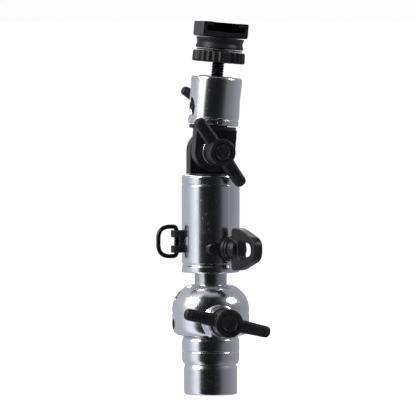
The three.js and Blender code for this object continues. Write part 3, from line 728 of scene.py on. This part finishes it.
def tee_grip(hub_r, low, high, span, width, bar_low, bar_high, angle, bore, bore_to, cap_r):
    """A moulded T-grip: waisted hub, blunt bar with grip ribs, screw bore and a recess for its cap."""
    hub = revolve(soften([
        (0, low), (hub_r - 1.0, low, 0.5), (hub_r - 1.2, low + 1.6, 0.4),
        (hub_r - 1.9, (low + bar_low) / 2, 1.2), (hub_r, bar_low + 0.3, 0.9), (hub_r, high, 1.1), (0, high),
    ]), FINE)
    bar = grip_bar(span, width, bar_high - bar_low, bar_low)
    ribs = []
    rib_reach = span / 2 - width * 0.42
    rib_step = width * 0.24
    rib_r = 0.42
    for side in (-1, 1):
        for k in range(4):
            x = side * (rib_reach - k * rib_step)
            rib = rod(rib_r, -width * 0.24, width * 0.24, 0.3, 20)
            ribs.append(moved(rib, shift(x, 0, bar_high - rib_r) @ turn(90, "X")))
    skin = moulded(together(hub, bar, *ribs), voxel=0.24, passes=4)
    screw_hole = rod(bore, low - 1, bore_to, segments=COARSE)
    cap_seat = rod(cap_r + GAP, high - 1.3, high + 1, segments=72)
    return moved(combine(skin, "DIFFERENCE", screw_hole, cap_seat), turn(angle, "Z"))


def grip_cap(r, high):
    """The plug in a grip's front: a flat button with a raised rim and a shallow dimple."""
    return revolve(soften([
        (0, high - 1.1), (r, high - 1.1, 0.1), (r, high - 0.1, 0.25), (r - 0.8, high - 0.1, 0.15),
        (r - 1.1, high - 0.4, 0.15), (r * 0.45, high - 0.45, 0.4), (0, high - 0.62),
    ]), 72)


# ------------------------------------------------------------------ stand adapter

def foot_sleeve():
    """The stepped sleeve: two beads, a groove between them, and the tenon inside the collar."""
    low, top, band = levels("lower_sleeve")
    rim = band - 1.0
    step = low + 15
    shoulder = levels("collar")[0] - GAP
    mouth, bore, tenon = 8.8, 10.6, 12.0
    sleeve = revolve(soften([
        (mouth, low, 0.35), (rim - 0.1, low, 1.5), (rim, low + 2.6, 0.8), (rim, step - 2.2, 0.8),
        (rim - 0.5, step - 0.5, 0.4), (rim - 0.5, step, 0.15), (band - 0.9, step, 0.5),
        (band, step + 2.0, 0.9), *groove(band, step + 5.8, 0.28), (band, shoulder - 2.2, 0.9),
        (band - 0.9, shoulder, 0.5), (tenon, shoulder, 0.1), (tenon, top, 0.3), (bore, top, 0.2),
        (bore, low + 1.5, 0.1), (mouth, low + 1.5, 0.2),
    ], closed=True), ROUND, closed=True)
    shoe_hole = moved(rod(SHOE_HOLE_R, 2, 20), STAND_SCREW)
    return combine(sleeve, "DIFFERENCE", shoe_hole)


def foot_bush():
    low, top, r = levels("socket_bush")
    bush = ring(r, SOCKET_R, low, top, 0.4, ROUND)
    shoe_hole = moved(rod(SHOE_HOLE_R, 2, 20), STAND_SCREW)
    return combine(bush, "DIFFERENCE", shoe_hole)


def bulb_collar():
    """The squat bulb, with a flared boss for the lock screw and drilled holes for its pins."""
    low, top, r = levels("collar")
    foot_r, crown_r, tenon, bore = 15.4, 9.6, 12.3, SOCKET_R
    waist, shoulder = low + 5.2, top - 12
    counter_top = -1.7
    steps = 18
    quarters = [pi / 2 * k / steps for k in range(steps + 1)]
    foot = [(foot_r + (r - foot_r) * sin(q), waist - (waist - low) * cos(q)) for q in quarters]
    band = [(r, 0.2), (r, 0.5, 0.1), (r - 0.3, 0.75, 0.1), (r - 0.3, 1.05, 0.1), (r, 1.3, 0.1), (r, 1.6)]
    band = [(x, shoulder - 2.6 + z, *edge) for x, z, *edge in band]
    dome = [
        (crown_r + (r - crown_r) * cos(q) ** 1.3, shoulder + (top - shoulder) * sin(q)) for q in quarters
    ]
    shell = revolve(soften([
        (tenon, low, 0.2), *foot, *band, *dome, (bore, top, 0.3), (bore, counter_top),
        (tenon, counter_top),
    ], closed=True), ROUND, closed=True)
    boss = revolve(soften([
        (0, 13), (9.4, 13), (9.2, 16.4), (8.5, 18.2), (7.9, 19.6), (7.6, 21),
        (7.6, STAND_BOSS_END, 0.5), (0, STAND_BOSS_END),
    ]), FINE)
    inside = rod(15.2, low - 5, top + 5, segments=ROUND)
    below = rod(40, low - 20, low + 0.02)
    boss = combine(moved(boss, STAND_SCREW), "DIFFERENCE", inside, below)
    pin_height = levels("spigot_pin")[0] + ROLL_PIN_R
    pin_side = frame_across(pin_height)
    grub_height = (levels("sleeve_grub_left")[0] + levels("sleeve_grub_left")[1]) / 2
    grub_side = frame_across(grub_height)
    holes = (
        moved(rod(SHOE_HOLE_R, 5, 30), STAND_SCREW),
        moved(rod(ROLL_PIN_R + GAP, -25, 25, segments=COARSE), pin_side),
        moved(rod(2.5, 8, 25, segments=COARSE), grub_side),
        moved(rod(2.5, -25, -8, segments=COARSE), grub_side),
    )
    return combine(combine(shell, "UNION", boss), "DIFFERENCE", *holes)


def adapter_spigot():
    low, top, r = levels("spigot")
    waist_low, waist_high, waist_r = 23, 37, 6.6
    return revolve(soften([
        (0, low), (r, low, 0.5), (r, waist_low - 1.5, 0.3), (waist_r, waist_low, 0.4),
        (waist_r, waist_high, 0.4), (r, waist_high + 1.5, 0.3), (r, top, 1.0), (0, top),
    ]), ROUND)


def stand_adapter():
    piece("lower_sleeve", foot_sleeve())
    piece("socket_bush", foot_bush())
    piece("collar", bulb_collar())
    piece("spigot", adapter_spigot())
    low, high, half = levels("spigot_pin")
    pin = revolve(soften([
        (0, -half), (1.2, -half, 0.2), (ROLL_PIN_R, 0.7 - half, 0.3), (ROLL_PIN_R, half - 0.7, 0.3),
        (1.2, half, 0.2), (0, half),
    ]), COARSE)
    piece("spigot_pin", pin, frame_across((low + high) / 2))
    for side, out in (("left", -1), ("right", 1)):
        node = f"sleeve_grub_{side}"
        low, high, _ = levels(node)
        piece(node, set_screw(2.2, 12.3, 17.9), frame_across((low + high) / 2, out))
    low, high, r = levels("seat_disc")
    piece("seat_disc", rod(r, low, high, 0.2))


def stand_lock():
    washer = STAND_BOSS_END + GAP
    grip = washer + 1.4 + GAP
    grip_end, screw_end, cap_r = 37.8, 31.5, 4.4
    piece("stand_lock_shoe", rod(4.2, 8.05, 12, 0.5), STAND_SCREW)
    piece("stand_lock_screw", thread(*M8_THREAD, 12.3, screw_end), STAND_SCREW)
    piece("stand_lock_washer", ring(7.2, 4.3, washer, washer + 1.4, 0.3), STAND_SCREW)
    tee = tee_grip(
        hub_r=7, low=grip, high=grip_end, span=44.5, width=7.2, bar_low=29.2, bar_high=35.4, angle=-13,
        bore=4.3, bore_to=screw_end + GAP, cap_r=cap_r,
    )
    piece("stand_lock_grip", tee, STAND_SCREW)
    piece("stand_lock_cap", grip_cap(cap_r, grip_end), STAND_SCREW)


# ------------------------------------------------------------------ barrel

def barrel_shell():
    """The barrel: blind bore below, pocket for the tilt cheek above, a lip and grooves at its foot."""
    low, top, r = levels("barrel")
    bore, web_low, web_high = 10.3, low + 37, low + 40
    pocket_r, tenon_r, pocket_low = 10.5, 5.3, top - 2.5
    body = revolve(soften([
        (0, web_low), (bore, web_low, 0.2), (bore, low, 0.3), (r, low, 0.9), (r, low + 3, 0.12),
        (r - 0.5, low + 3.5, 0.15), (r - 0.5, low + 4.3, 0.15), (r, low + 4.8, 0.12),
        *groove(r, top - 5.2), (r, top, 1.3), (pocket_r, top, 0.3), (pocket_r, pocket_low, 0.1),
        (tenon_r, pocket_low, 0.1), (tenon_r, web_high), (0, web_high),
    ]), ROUND)
    holes = (
        moved(rod(6.5, 12.3, 30), KEY_SCREW),
        moved(rod(M6_HOLE_R, 5, 20, segments=COARSE), KEY_SCREW),
        moved(rod(1.8, 10.9, 20, segments=COARSE), ring_side()),
    )
    return combine(body, "DIFFERENCE", *holes)


def ring_side():
    """The frame on the barrel's side that faces the cord ring."""
    height = joints["ring_swing"]["pos_m"][2]
    return frame_at((0, 0, height), (-1, 0, 0), (0, 0, 1))


def lower_bush():
    low, top, r = levels("pan_bush")
    return ring(r, 8.25, low, top, 0.4, ROUND)


def oval(half_length, half_width):
    """An outline with straight sides and round ends."""
    ends = []
    for centre, start in ((half_length - half_width, -90), (half_width - half_length, 90)):
        for k in range(13):
            angle = radians(start + 15 * k)
            ends.append((centre + half_width * cos(angle), half_width * sin(angle)))
    return ends


def boss_of_key():
    """A round boss on a thin oval foot that wraps the barrel."""
    low, top, r = levels("barrel")
    wrap = combine(
        moved(rod(r + 1.9, low, top, segments=ROUND), KEY_SCREW.inverted()),
        "DIFFERENCE",
        moved(rod(r + GAP, low - 1, top + 1, segments=ROUND), KEY_SCREW.inverted()),
    )
    foot = combine(slab(oval(11, 2.9), 5, 20, edge=0), "INTERSECT", wrap)
    flared = revolve(soften([
        (0, 12.6), (6.2, 12.6, 0.2), (6.2, 16.0, 0.5), (5.4, 16.9, 0.5), (5.4, 17.9, 0.5), (0, 17.9),
    ]), FINE)
    skin = moulded(together(foot, flared), voxel=0.2, passes=3)
    return combine(skin, "DIFFERENCE", rod(M6_HOLE_R, 0, 30, segments=COARSE))


def strap_with_eyes():
    """The strap screwed to the barrel, with an eye at each end for the ring's straight side."""
    pivot = -joints["ring_swing"]["pos_m"][0] / MM
    low, high, _ = levels("ring_bracket")
    half = (high - low) / 2
    wall = levels("barrel")[2] + GAP
    eye_r, eye_length, bore = 2.7, 3.6, 1.5
    strap = slab(oval_upright(2.2, half), wall, wall + 1.5, edge=0.3)
    along = shift(0, 0, pivot) @ turn(-90, "X")
    eyes = [
        moved(rod(eye_r, start, start + eye_length, 0.5), along) for start in (-half, half - eye_length)
    ]
    webs = [
        slab([(-1.6, a), (1.6, a), (1.6, a + 2.8), (-1.6, a + 2.8)], wall + 0.3, pivot, edge=0.2)
        for a in (-half + 0.4, half - 3.2)
    ]
    skin = moulded(together(strap, *eyes, *webs), voxel=0.16, passes=3)
    wire_hole = moved(rod(bore, -15, 15, segments=COARSE), along)
    screw_hole = rod(1.8, 10, 20, segments=COARSE)
    return combine(skin, "DIFFERENCE", wire_hole, screw_hole)


def oval_upright(half_width, half_height):
    """A rounded rectangle, taller than it is wide."""
    return soften([
        (half_width, -half_height, 1.2), (half_width, half_height, 1.2),
        (-half_width, half_height, 1.2), (-half_width, -half_height, 1.2),
    ], closed=True)


def cross_recess(length, high, width=0.5, depth=0.7):
    """The two slots of a cross recess."""
    half = length / 2
    slot = [(-half, -width / 2), (half, -width / 2), (half, width / 2), (-half, width / 2)]
    upright = [(-y, x) for x, y in slot]
    return slab(slot, high - depth, high + 1, edge=0), slab(upright, high - depth, high + 1, edge=0)


def cheek(r, base, low, high, edge=0.7):
    """A slab with one round end about the origin and square shoulders at a height from it."""
    steps = 40
    toward = 1 if base > 0 else -1
    arc = [(r * cos(pi * k / steps), -toward * r * sin(pi * k / steps)) for k in range(steps + 1)]
    outline = [(r, base), *arc, (-r, base)]
    if toward < 0:
        outline = outline[1:] + outline[:1]
    else:
        outline = outline[::-1]
    return slab(outline, low, high, edge)


def rear_cheek():
    """The barrel's half of the tilt joint: a cheek on a flange and a tenon."""
    front, rear = -CHEEK_SPLIT, -CHEEK_SPLIT - CHEEK_THICK
    barrel_top = levels("barrel")[1]
    tilt_z = tilt_point.z / MM
    upright = cheek(CHEEK_R, barrel_top + GAP - tilt_z, rear, front)
    flange = rod(CHEEK_R, barrel_top - 2.2, barrel_top + 0.8, 0.4)
    tenon = rod(5, barrel_top - 7.7, barrel_top - 1, 0.3)
    skin = moulded(together(moved(upright, TILT_FRONT), flange, tenon), voxel=0.26, passes=4)
    holes = (
        moved(rod(M6_HOLE_R, -20, 20, segments=COARSE), TILT_FRONT),
        moved(rod(5.9, -20, rear + 3.6, segments=72), TILT_FRONT),
        rod(2.8, barrel_top - 9, barrel_top - 0.7, segments=COARSE),
    )
    return combine(skin, "DIFFERENCE", *holes)


def through_bolt():
    """The tilt joint's bolt: a chamfered hexagon head in the rear cheek and a threaded shank."""
    rear = -8.6
    head_top = rear + 2.9
    head = moved(hex_head(9.6, -head_top, -rear), turn(180, "X"))
    shank = rod(3.0, head_top - 0.5, 9.5, 0.1)
    end = thread(*M6_THREAD, 9.2, 21)
    return combine(head, "UNION", shank, end)


def barrel_unit():
    piece("barrel", barrel_shell())
    piece("pan_bush", lower_bush())
    piece("key_boss", boss_of_key(), KEY_SCREW)
    piece("ring_bracket", strap_with_eyes(), ring_side())
    strap_face = levels("barrel")[2] + 1.6
    piece("ring_bracket_screw", set_screw(1.5, 11.3, strap_face), ring_side())
    piece("lower_knuckle", rear_cheek())
    piece("tilt_bolt", through_bolt(), TILT_FRONT)


def loop_key():
    """The key's thick D-shaped loop. Its broad side and its short hub face the barrel."""
    start = 18.2
    hub_end, reach = start + 5.6, start + 18.65
    outer = soften([
        (start + 0.6, -10.7, 3.2), (start + 6.5, -10.1, 4), (reach, -4.8, 5.5),
        (reach, 4.8, 5.5), (start + 6.5, 10.1, 4), (start + 0.6, 10.7, 3.2),
    ], closed=True, steps=12)
    inner = soften([
        (hub_end + 0.5, -4.6, 1.8), (reach - 3.4, -2.8, 2.2),
        (reach - 3.4, 2.8, 2.2), (hub_end + 0.5, 4.6, 1.8),
    ], closed=True, steps=8)
    stand_up = Matrix(((0, 0, -1, 0), (0, 1, 0, 0), (1, 0, 0, 0), (0, 0, 0, 1)))
    loop = combine(slab(outer, -2.6, 2.6, edge=1.1), "DIFFERENCE", slab(inner, -4, 4, edge=0))
    hub = revolve(soften([
        (0, start), (5.2, start, 0.5), (5.2, start + 2.4, 0.6), (4.4, start + 4.6, 0.8), (0, hub_end),
    ]), FINE)
    skin = moulded(together(moved(loop, stand_up), hub), voxel=0.24, passes=7)
    return combine(skin, "DIFFERENCE", rod(M6_HOLE_R, 0, hub_end - 0.8, segments=COARSE))


def barrel_key():
    piece("key_pad", rod(2.9, 6.95, 10.5, 0.4), KEY_SCREW)
    piece("key_screw", thread(*M6_THREAD, 10.8, 22.7), KEY_SCREW)
    piece("key_grip", loop_key(), KEY_SCREW)


def wire_ring():
    """The cord ring: round wire bent to a D, its straight side in the strap's eyes."""
    low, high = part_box("cord_ring")
    wire = high[1] / MM
    half = (high[2] - low[2]) / 2 / MM - wire
    out = (joints["ring_swing"]["pos_m"][0] - low[0]) / MM - wire
    route = soften([
        (0, -half, 1.8), (out, -half, 5.9), (out, half, 5.9), (0, half, 1.8),
    ], closed=True, steps=16, share=0.75)
    curve = bpy.data.curves.new("ring", "CURVE")
    curve.dimensions = "3D"
    curve.bevel_depth = wire * MM
    curve.bevel_resolution = 6
    spline = curve.splines.new("POLY")
    spline.points.add(len(route) - 1)
    for point, (x, y) in zip(spline.points, route):
        point.co = (x * MM, y * MM, 0, 1)
    spline.use_cyclic_u = True
    mesh = with_modifiers(curve)
    return smooth(mesh, 60)


def cord_ring():
    pivot = joints["ring_swing"]["pos_m"]
    piece("cord_ring", wire_ring(), frame_at(pivot, (0, 1, 0), (0, 0, 1)))


# ------------------------------------------------------------------ head

HEAD_R, HEAD_LOW, HEAD_TOP = 12.5, 13.0, 37.0       # heights from the tilt joint
HEAD_PIN_HEIGHT = 15
SHAFT_HEIGHT, SHAFT_SLANT, SHAFT_R = 23.1, 10.26, 5.0   # the slant in degrees


def front_cheek():
    """The head's half of the tilt joint: a cheek under a flange with a lip."""
    flange_low, flange_top = 10.7, 12.7
    front = HEAD.inverted() @ LEANING_FRONT
    upright = moved(cheek(CHEEK_R, flange_low + 0.5, CHEEK_SPLIT, CHEEK_SPLIT + CHEEK_THICK), front)
    flange = rod(11.6, flange_low, flange_top, 0.5)
    tenon = rod(7, flange_top - 0.5, 16.7, 0.3)
    skin = moulded(together(upright, flange, tenon), voxel=0.26, passes=4)
    return combine(skin, "DIFFERENCE", moved(rod(M6_HOLE_R, -20, 20, segments=COARSE), front))


def head_shell():
    """The silver head: drilled across for the umbrella's shaft, from above, from below and from behind."""
    body = revolve(soften([
        (0, HEAD_LOW), (HEAD_R, HEAD_LOW, 1.1), *groove(HEAD_R, HEAD_LOW + 2.6),
        (HEAD_R, HEAD_TOP, 1.8), (0, HEAD_TOP),
    ]), ROUND)
    across = shift(0, 0, SHAFT_HEIGHT) @ turn(90 - SHAFT_SLANT, "Y")
    countersunk = revolve([
        (0, -16), (SHAFT_R + 3.4, -16), (SHAFT_R, -10.9), (SHAFT_R, 10.9), (SHAFT_R + 3.4, 16), (0, 16),
    ], FINE)
    behind = HEAD.inverted() @ SHAFT_SCREW
    clamp_hole = revolve([(0, 2), (2.8, 2), (2.8, 11.9), (3.9, 13), (3.9, 15), (0, 15)], COARSE)
    pin_hole = rod(1.5, -20, 20, segments=32)
    holes = (
        rod(7.3, HEAD_LOW - 1, 17.0),
        moved(countersunk, across),
        moved(clamp_hole, behind),
        rod(3.5, 29.8, HEAD_TOP + 1, segments=72),
        moved(pin_hole, shift(0, 0, HEAD_PIN_HEIGHT) @ turn(90, "X")),
    )
    return combine(body, "DIFFERENCE", *holes)


def head_unit():
    piece("upper_knuckle", front_cheek(), HEAD)
    piece("friction_disc", ring(9.2, M6_HOLE_R, -0.5, 0.5, 0.12), LEANING_FRONT)
    piece("head_body", head_shell(), HEAD)
    pin = rod(1.2, -11.5, 11.5, 0.3, 40)
    piece("head_pin", pin, HEAD @ shift(0, 0, HEAD_PIN_HEIGHT) @ turn(90, "X"))
    piece("head_stud", thread(*QUARTER_INCH_THREAD, 30.1, 55.6), HEAD)


def tilt_lock():
    washer = 9.3
    grip = washer + 1.5 + GAP
    grip_end, cap_r, bolt_end = 24.5, 4.2, 21
    piece("tilt_washer", ring(6.8, M6_HOLE_R, washer, washer + 1.5, 0.3), TILT_SCREW)
    piece("tilt_nut", ring(4.6, M6_HOLE_R, grip + 0.2, 20, 0.3), TILT_SCREW)
    tee = tee_grip(
        hub_r=6.6, low=grip, high=grip_end, span=40, width=7.2, bar_low=15.2, bar_high=21.4, angle=-55,
        bore=4.9, bore_to=bolt_end + GAP, cap_r=cap_r,
    )
    piece("tilt_grip", tee, TILT_SCREW)
    piece("tilt_cap", grip_cap(cap_r, grip_end), TILT_SCREW)


def shaft_lock():
    grip = HEAD_R + 1.4
    piece("umbrella_pad", rod(2.4, 3.4, 7.4, 0.4, COARSE), SHAFT_SCREW)
    piece("umbrella_screw", thread(*M5_THREAD, 7.7, grip + 8), SHAFT_SCREW)
    tee = tee_grip(
        hub_r=5.4, low=grip, high=grip + 12, span=27, width=5.6, bar_low=grip + 4.5, bar_high=grip + 10,
        angle=29, bore=2.8, bore_to=grip + 8.3, cap_r=2.6,
    )
    piece("umbrella_grip", tee, SHAFT_SCREW)


# ------------------------------------------------------------------ flash shoe

WHEEL_LOW, WHEEL_TOP = 43.8, 49.3                   # heights from the tilt joint
WASHER_LOW, WASHER_TOP = 49.6, 50.3
PEDESTAL_LOW, PEDESTAL_TOP = 50.6, 55.9
SHOE_LOW, SHOE_FLOOR, SHOE_LIP, SHOE_TOP = 56.2, 59.0, 61.6, 63.5
SHOE_WIDTH, SHOE_LENGTH, SLOT_WIDTH, MOUTH_WIDTH = 22.6, 20, 18.8, 12.6
SCREW_OFFSET, SCREW_LOW, SCREW_R, SCREW_HEAD_R = 5.6, 52.9, 1.4, 2.4
STUD_HOLE_R = 3.5


def ribbed_wheel():
    """The lock wheel: rounded ribs round its edge and a dished underside."""
    r, ribs, rib_depth = 13.1, 24, 0.75

    def ribbed(angle, radius):
        share = max(0.0, (radius / r - 0.8) / 0.2)
        return radius - share * rib_depth * (0.5 + 0.5 * cos(ribs * angle)) ** 2

    profile = soften([
        (STUD_HOLE_R, WHEEL_LOW + 0.6, 0.2), (9.4, WHEEL_LOW + 0.6, 0.4), (10.2, WHEEL_LOW, 0.3),
        (r, WHEEL_LOW, 0.9), (r - 0.25, WHEEL_TOP, 0.9), (9.4, WHEEL_TOP, 0.3),
        (9.0, WHEEL_TOP - 0.5, 0.2), (STUD_HOLE_R, WHEEL_TOP - 0.5, 0.2),
    ], closed=True)
    return revolve(profile, ribs * 10, closed=True, reach=ribbed)


def waisted_pedestal():
    """The spool under the shoe."""
    r, waist = 11.8, 11.1
    middle = (PEDESTAL_LOW + PEDESTAL_TOP) / 2
    body = revolve(soften([
        (STUD_HOLE_R, PEDESTAL_LOW), (r, PEDESTAL_LOW, 0.5), (r - 0.1, PEDESTAL_LOW + 0.9, 0.3),
        (waist, middle, 1.4), (r - 0.1, PEDESTAL_TOP - 0.9, 0.3), (r, PEDESTAL_TOP, 0.4),
        (STUD_HOLE_R, PEDESTAL_TOP),
    ], closed=True), ROUND, closed=True)
    hole = rod(SCREW_R + GAP, SCREW_LOW - GAP, 60, segments=32)
    return combine(body, "DIFFERENCE", *[moved(hole, shift(0, y)) for y in (-SCREW_OFFSET, SCREW_OFFSET)])


def shoe_channel():
    """The cold shoe: a channel with inward lips, closed by a stop at the rear."""
    half, slot, mouth = SHOE_WIDTH / 2, SLOT_WIDTH / 2, MOUTH_WIDTH / 2
    section = soften([
        (-half, SHOE_LOW, 1.1), (half, SHOE_LOW, 1.1), (half, SHOE_TOP, 0.7), (mouth, SHOE_TOP, 0.6),
        (mouth, SHOE_LIP, 0.25), (slot, SHOE_LIP, 0.3), (slot, SHOE_FLOOR, 0.3), (-slot, SHOE_FLOOR, 0.3),
        (-slot, SHOE_LIP, 0.3), (-mouth, SHOE_LIP, 0.25), (-mouth, SHOE_TOP, 0.6), (-half, SHOE_TOP, 0.7),
    ], closed=True)
    along = turn(90, "X")
    channel = moved(slab(section, -SHOE_LENGTH / 2, SHOE_LENGTH / 2, edge=0.3), along)
    wall = moved(slab(soften([
        (-half + 0.3, SHOE_LOW + 0.3, 1), (half - 0.3, SHOE_LOW + 0.3, 1),
        (half - 0.3, SHOE_TOP - 0.05, 0.7), (-half + 0.3, SHOE_TOP - 0.05, 0.7),
    ], closed=True), -SHOE_LENGTH / 2 + 0.05, 1.6 - SHOE_LENGTH / 2, edge=0.2), along)
    body = combine(channel, "UNION", wall)
    hole_r, seat_r = SCREW_R + GAP, SCREW_HEAD_R + GAP
    seat = revolve([
        (0, SHOE_LOW - 1), (hole_r, SHOE_LOW - 1), (hole_r, SHOE_FLOOR - 2.1), (seat_r, SHOE_FLOOR - 0.7),
        (seat_r, SHOE_FLOOR + 1), (0, SHOE_FLOOR + 1),
    ], COARSE)
    return combine(body, "DIFFERENCE", *[moved(seat, shift(0, y)) for y in (-SCREW_OFFSET, SCREW_OFFSET)])


def leaf_spring():
    """The bowed leaf between the shoe's screws."""
    half, rise, thick, half_width, steps = 2.7, 0.95, 0.35, 5.5, 20
    arc = [-half + 2 * half * k / steps for k in range(steps + 1)]
    under = [(x, rise * (1 - (x / half) ** 2)) for x in arc]
    outline = under + [(x, z + thick) for x, z in reversed(under)]
    lie_across = Matrix(((0, 0, 1, 0), (1, 0, 0, 0), (0, 1, 0, 0), (0, 0, 0, 1)))
    leaf = slab(outline, -half_width, half_width, edge=0.08)
    return moved(leaf, shift(0, 0, SHOE_FLOOR + GAP) @ lie_across)


def countersunk_screw(y):
    head_top = SHOE_FLOOR - GAP
    body = revolve(soften([
        (0, SCREW_LOW), (SCREW_R, SCREW_LOW, 0.2), (SCREW_R, head_top - 1.5, 0.1),
        (SCREW_HEAD_R, head_top - 0.2, 0.05), (SCREW_HEAD_R, head_top, 0.1), (0, head_top),
    ]), COARSE)
    return moved(combine(body, "DIFFERENCE", *cross_recess(3.0, head_top, 0.55, 0.9)), shift(0, y))


def flash_shoe():
    piece("shoe_washer", ring(11.2, STUD_HOLE_R, WASHER_LOW, WASHER_TOP, 0.15), HEAD)
    piece("shoe_wheel", ribbed_wheel(), HEAD)
    piece("shoe_pedestal", waisted_pedestal(), HEAD)
    piece("shoe_frame", shoe_channel(), HEAD)
    piece("shoe_spring", leaf_spring(), HEAD)
    piece("shoe_screw_front", countersunk_screw(-SCREW_OFFSET), HEAD)
    piece("shoe_screw_rear", countersunk_screw(SCREW_OFFSET), HEAD)


# ------------------------------------------------------------------ the whole bracket

def finish_hidden_nodes():
    """Gives the CAD nodes that stay their finish. They lie inside other pieces."""
    node = frame["nodes"]["knuckle_bolt"]
    node.data.materials.clear()
    node.data.materials.append(finishes[slot_of["knuckle_bolt"]])


make_camera()
make_world()
make_lights()
make_floor()
stand_adapter()
stand_lock()
barrel_unit()
barrel_key()
cord_ring()
head_unit()
tilt_lock()
shaft_lock()
flash_shoe()
finish_hidden_nodes()
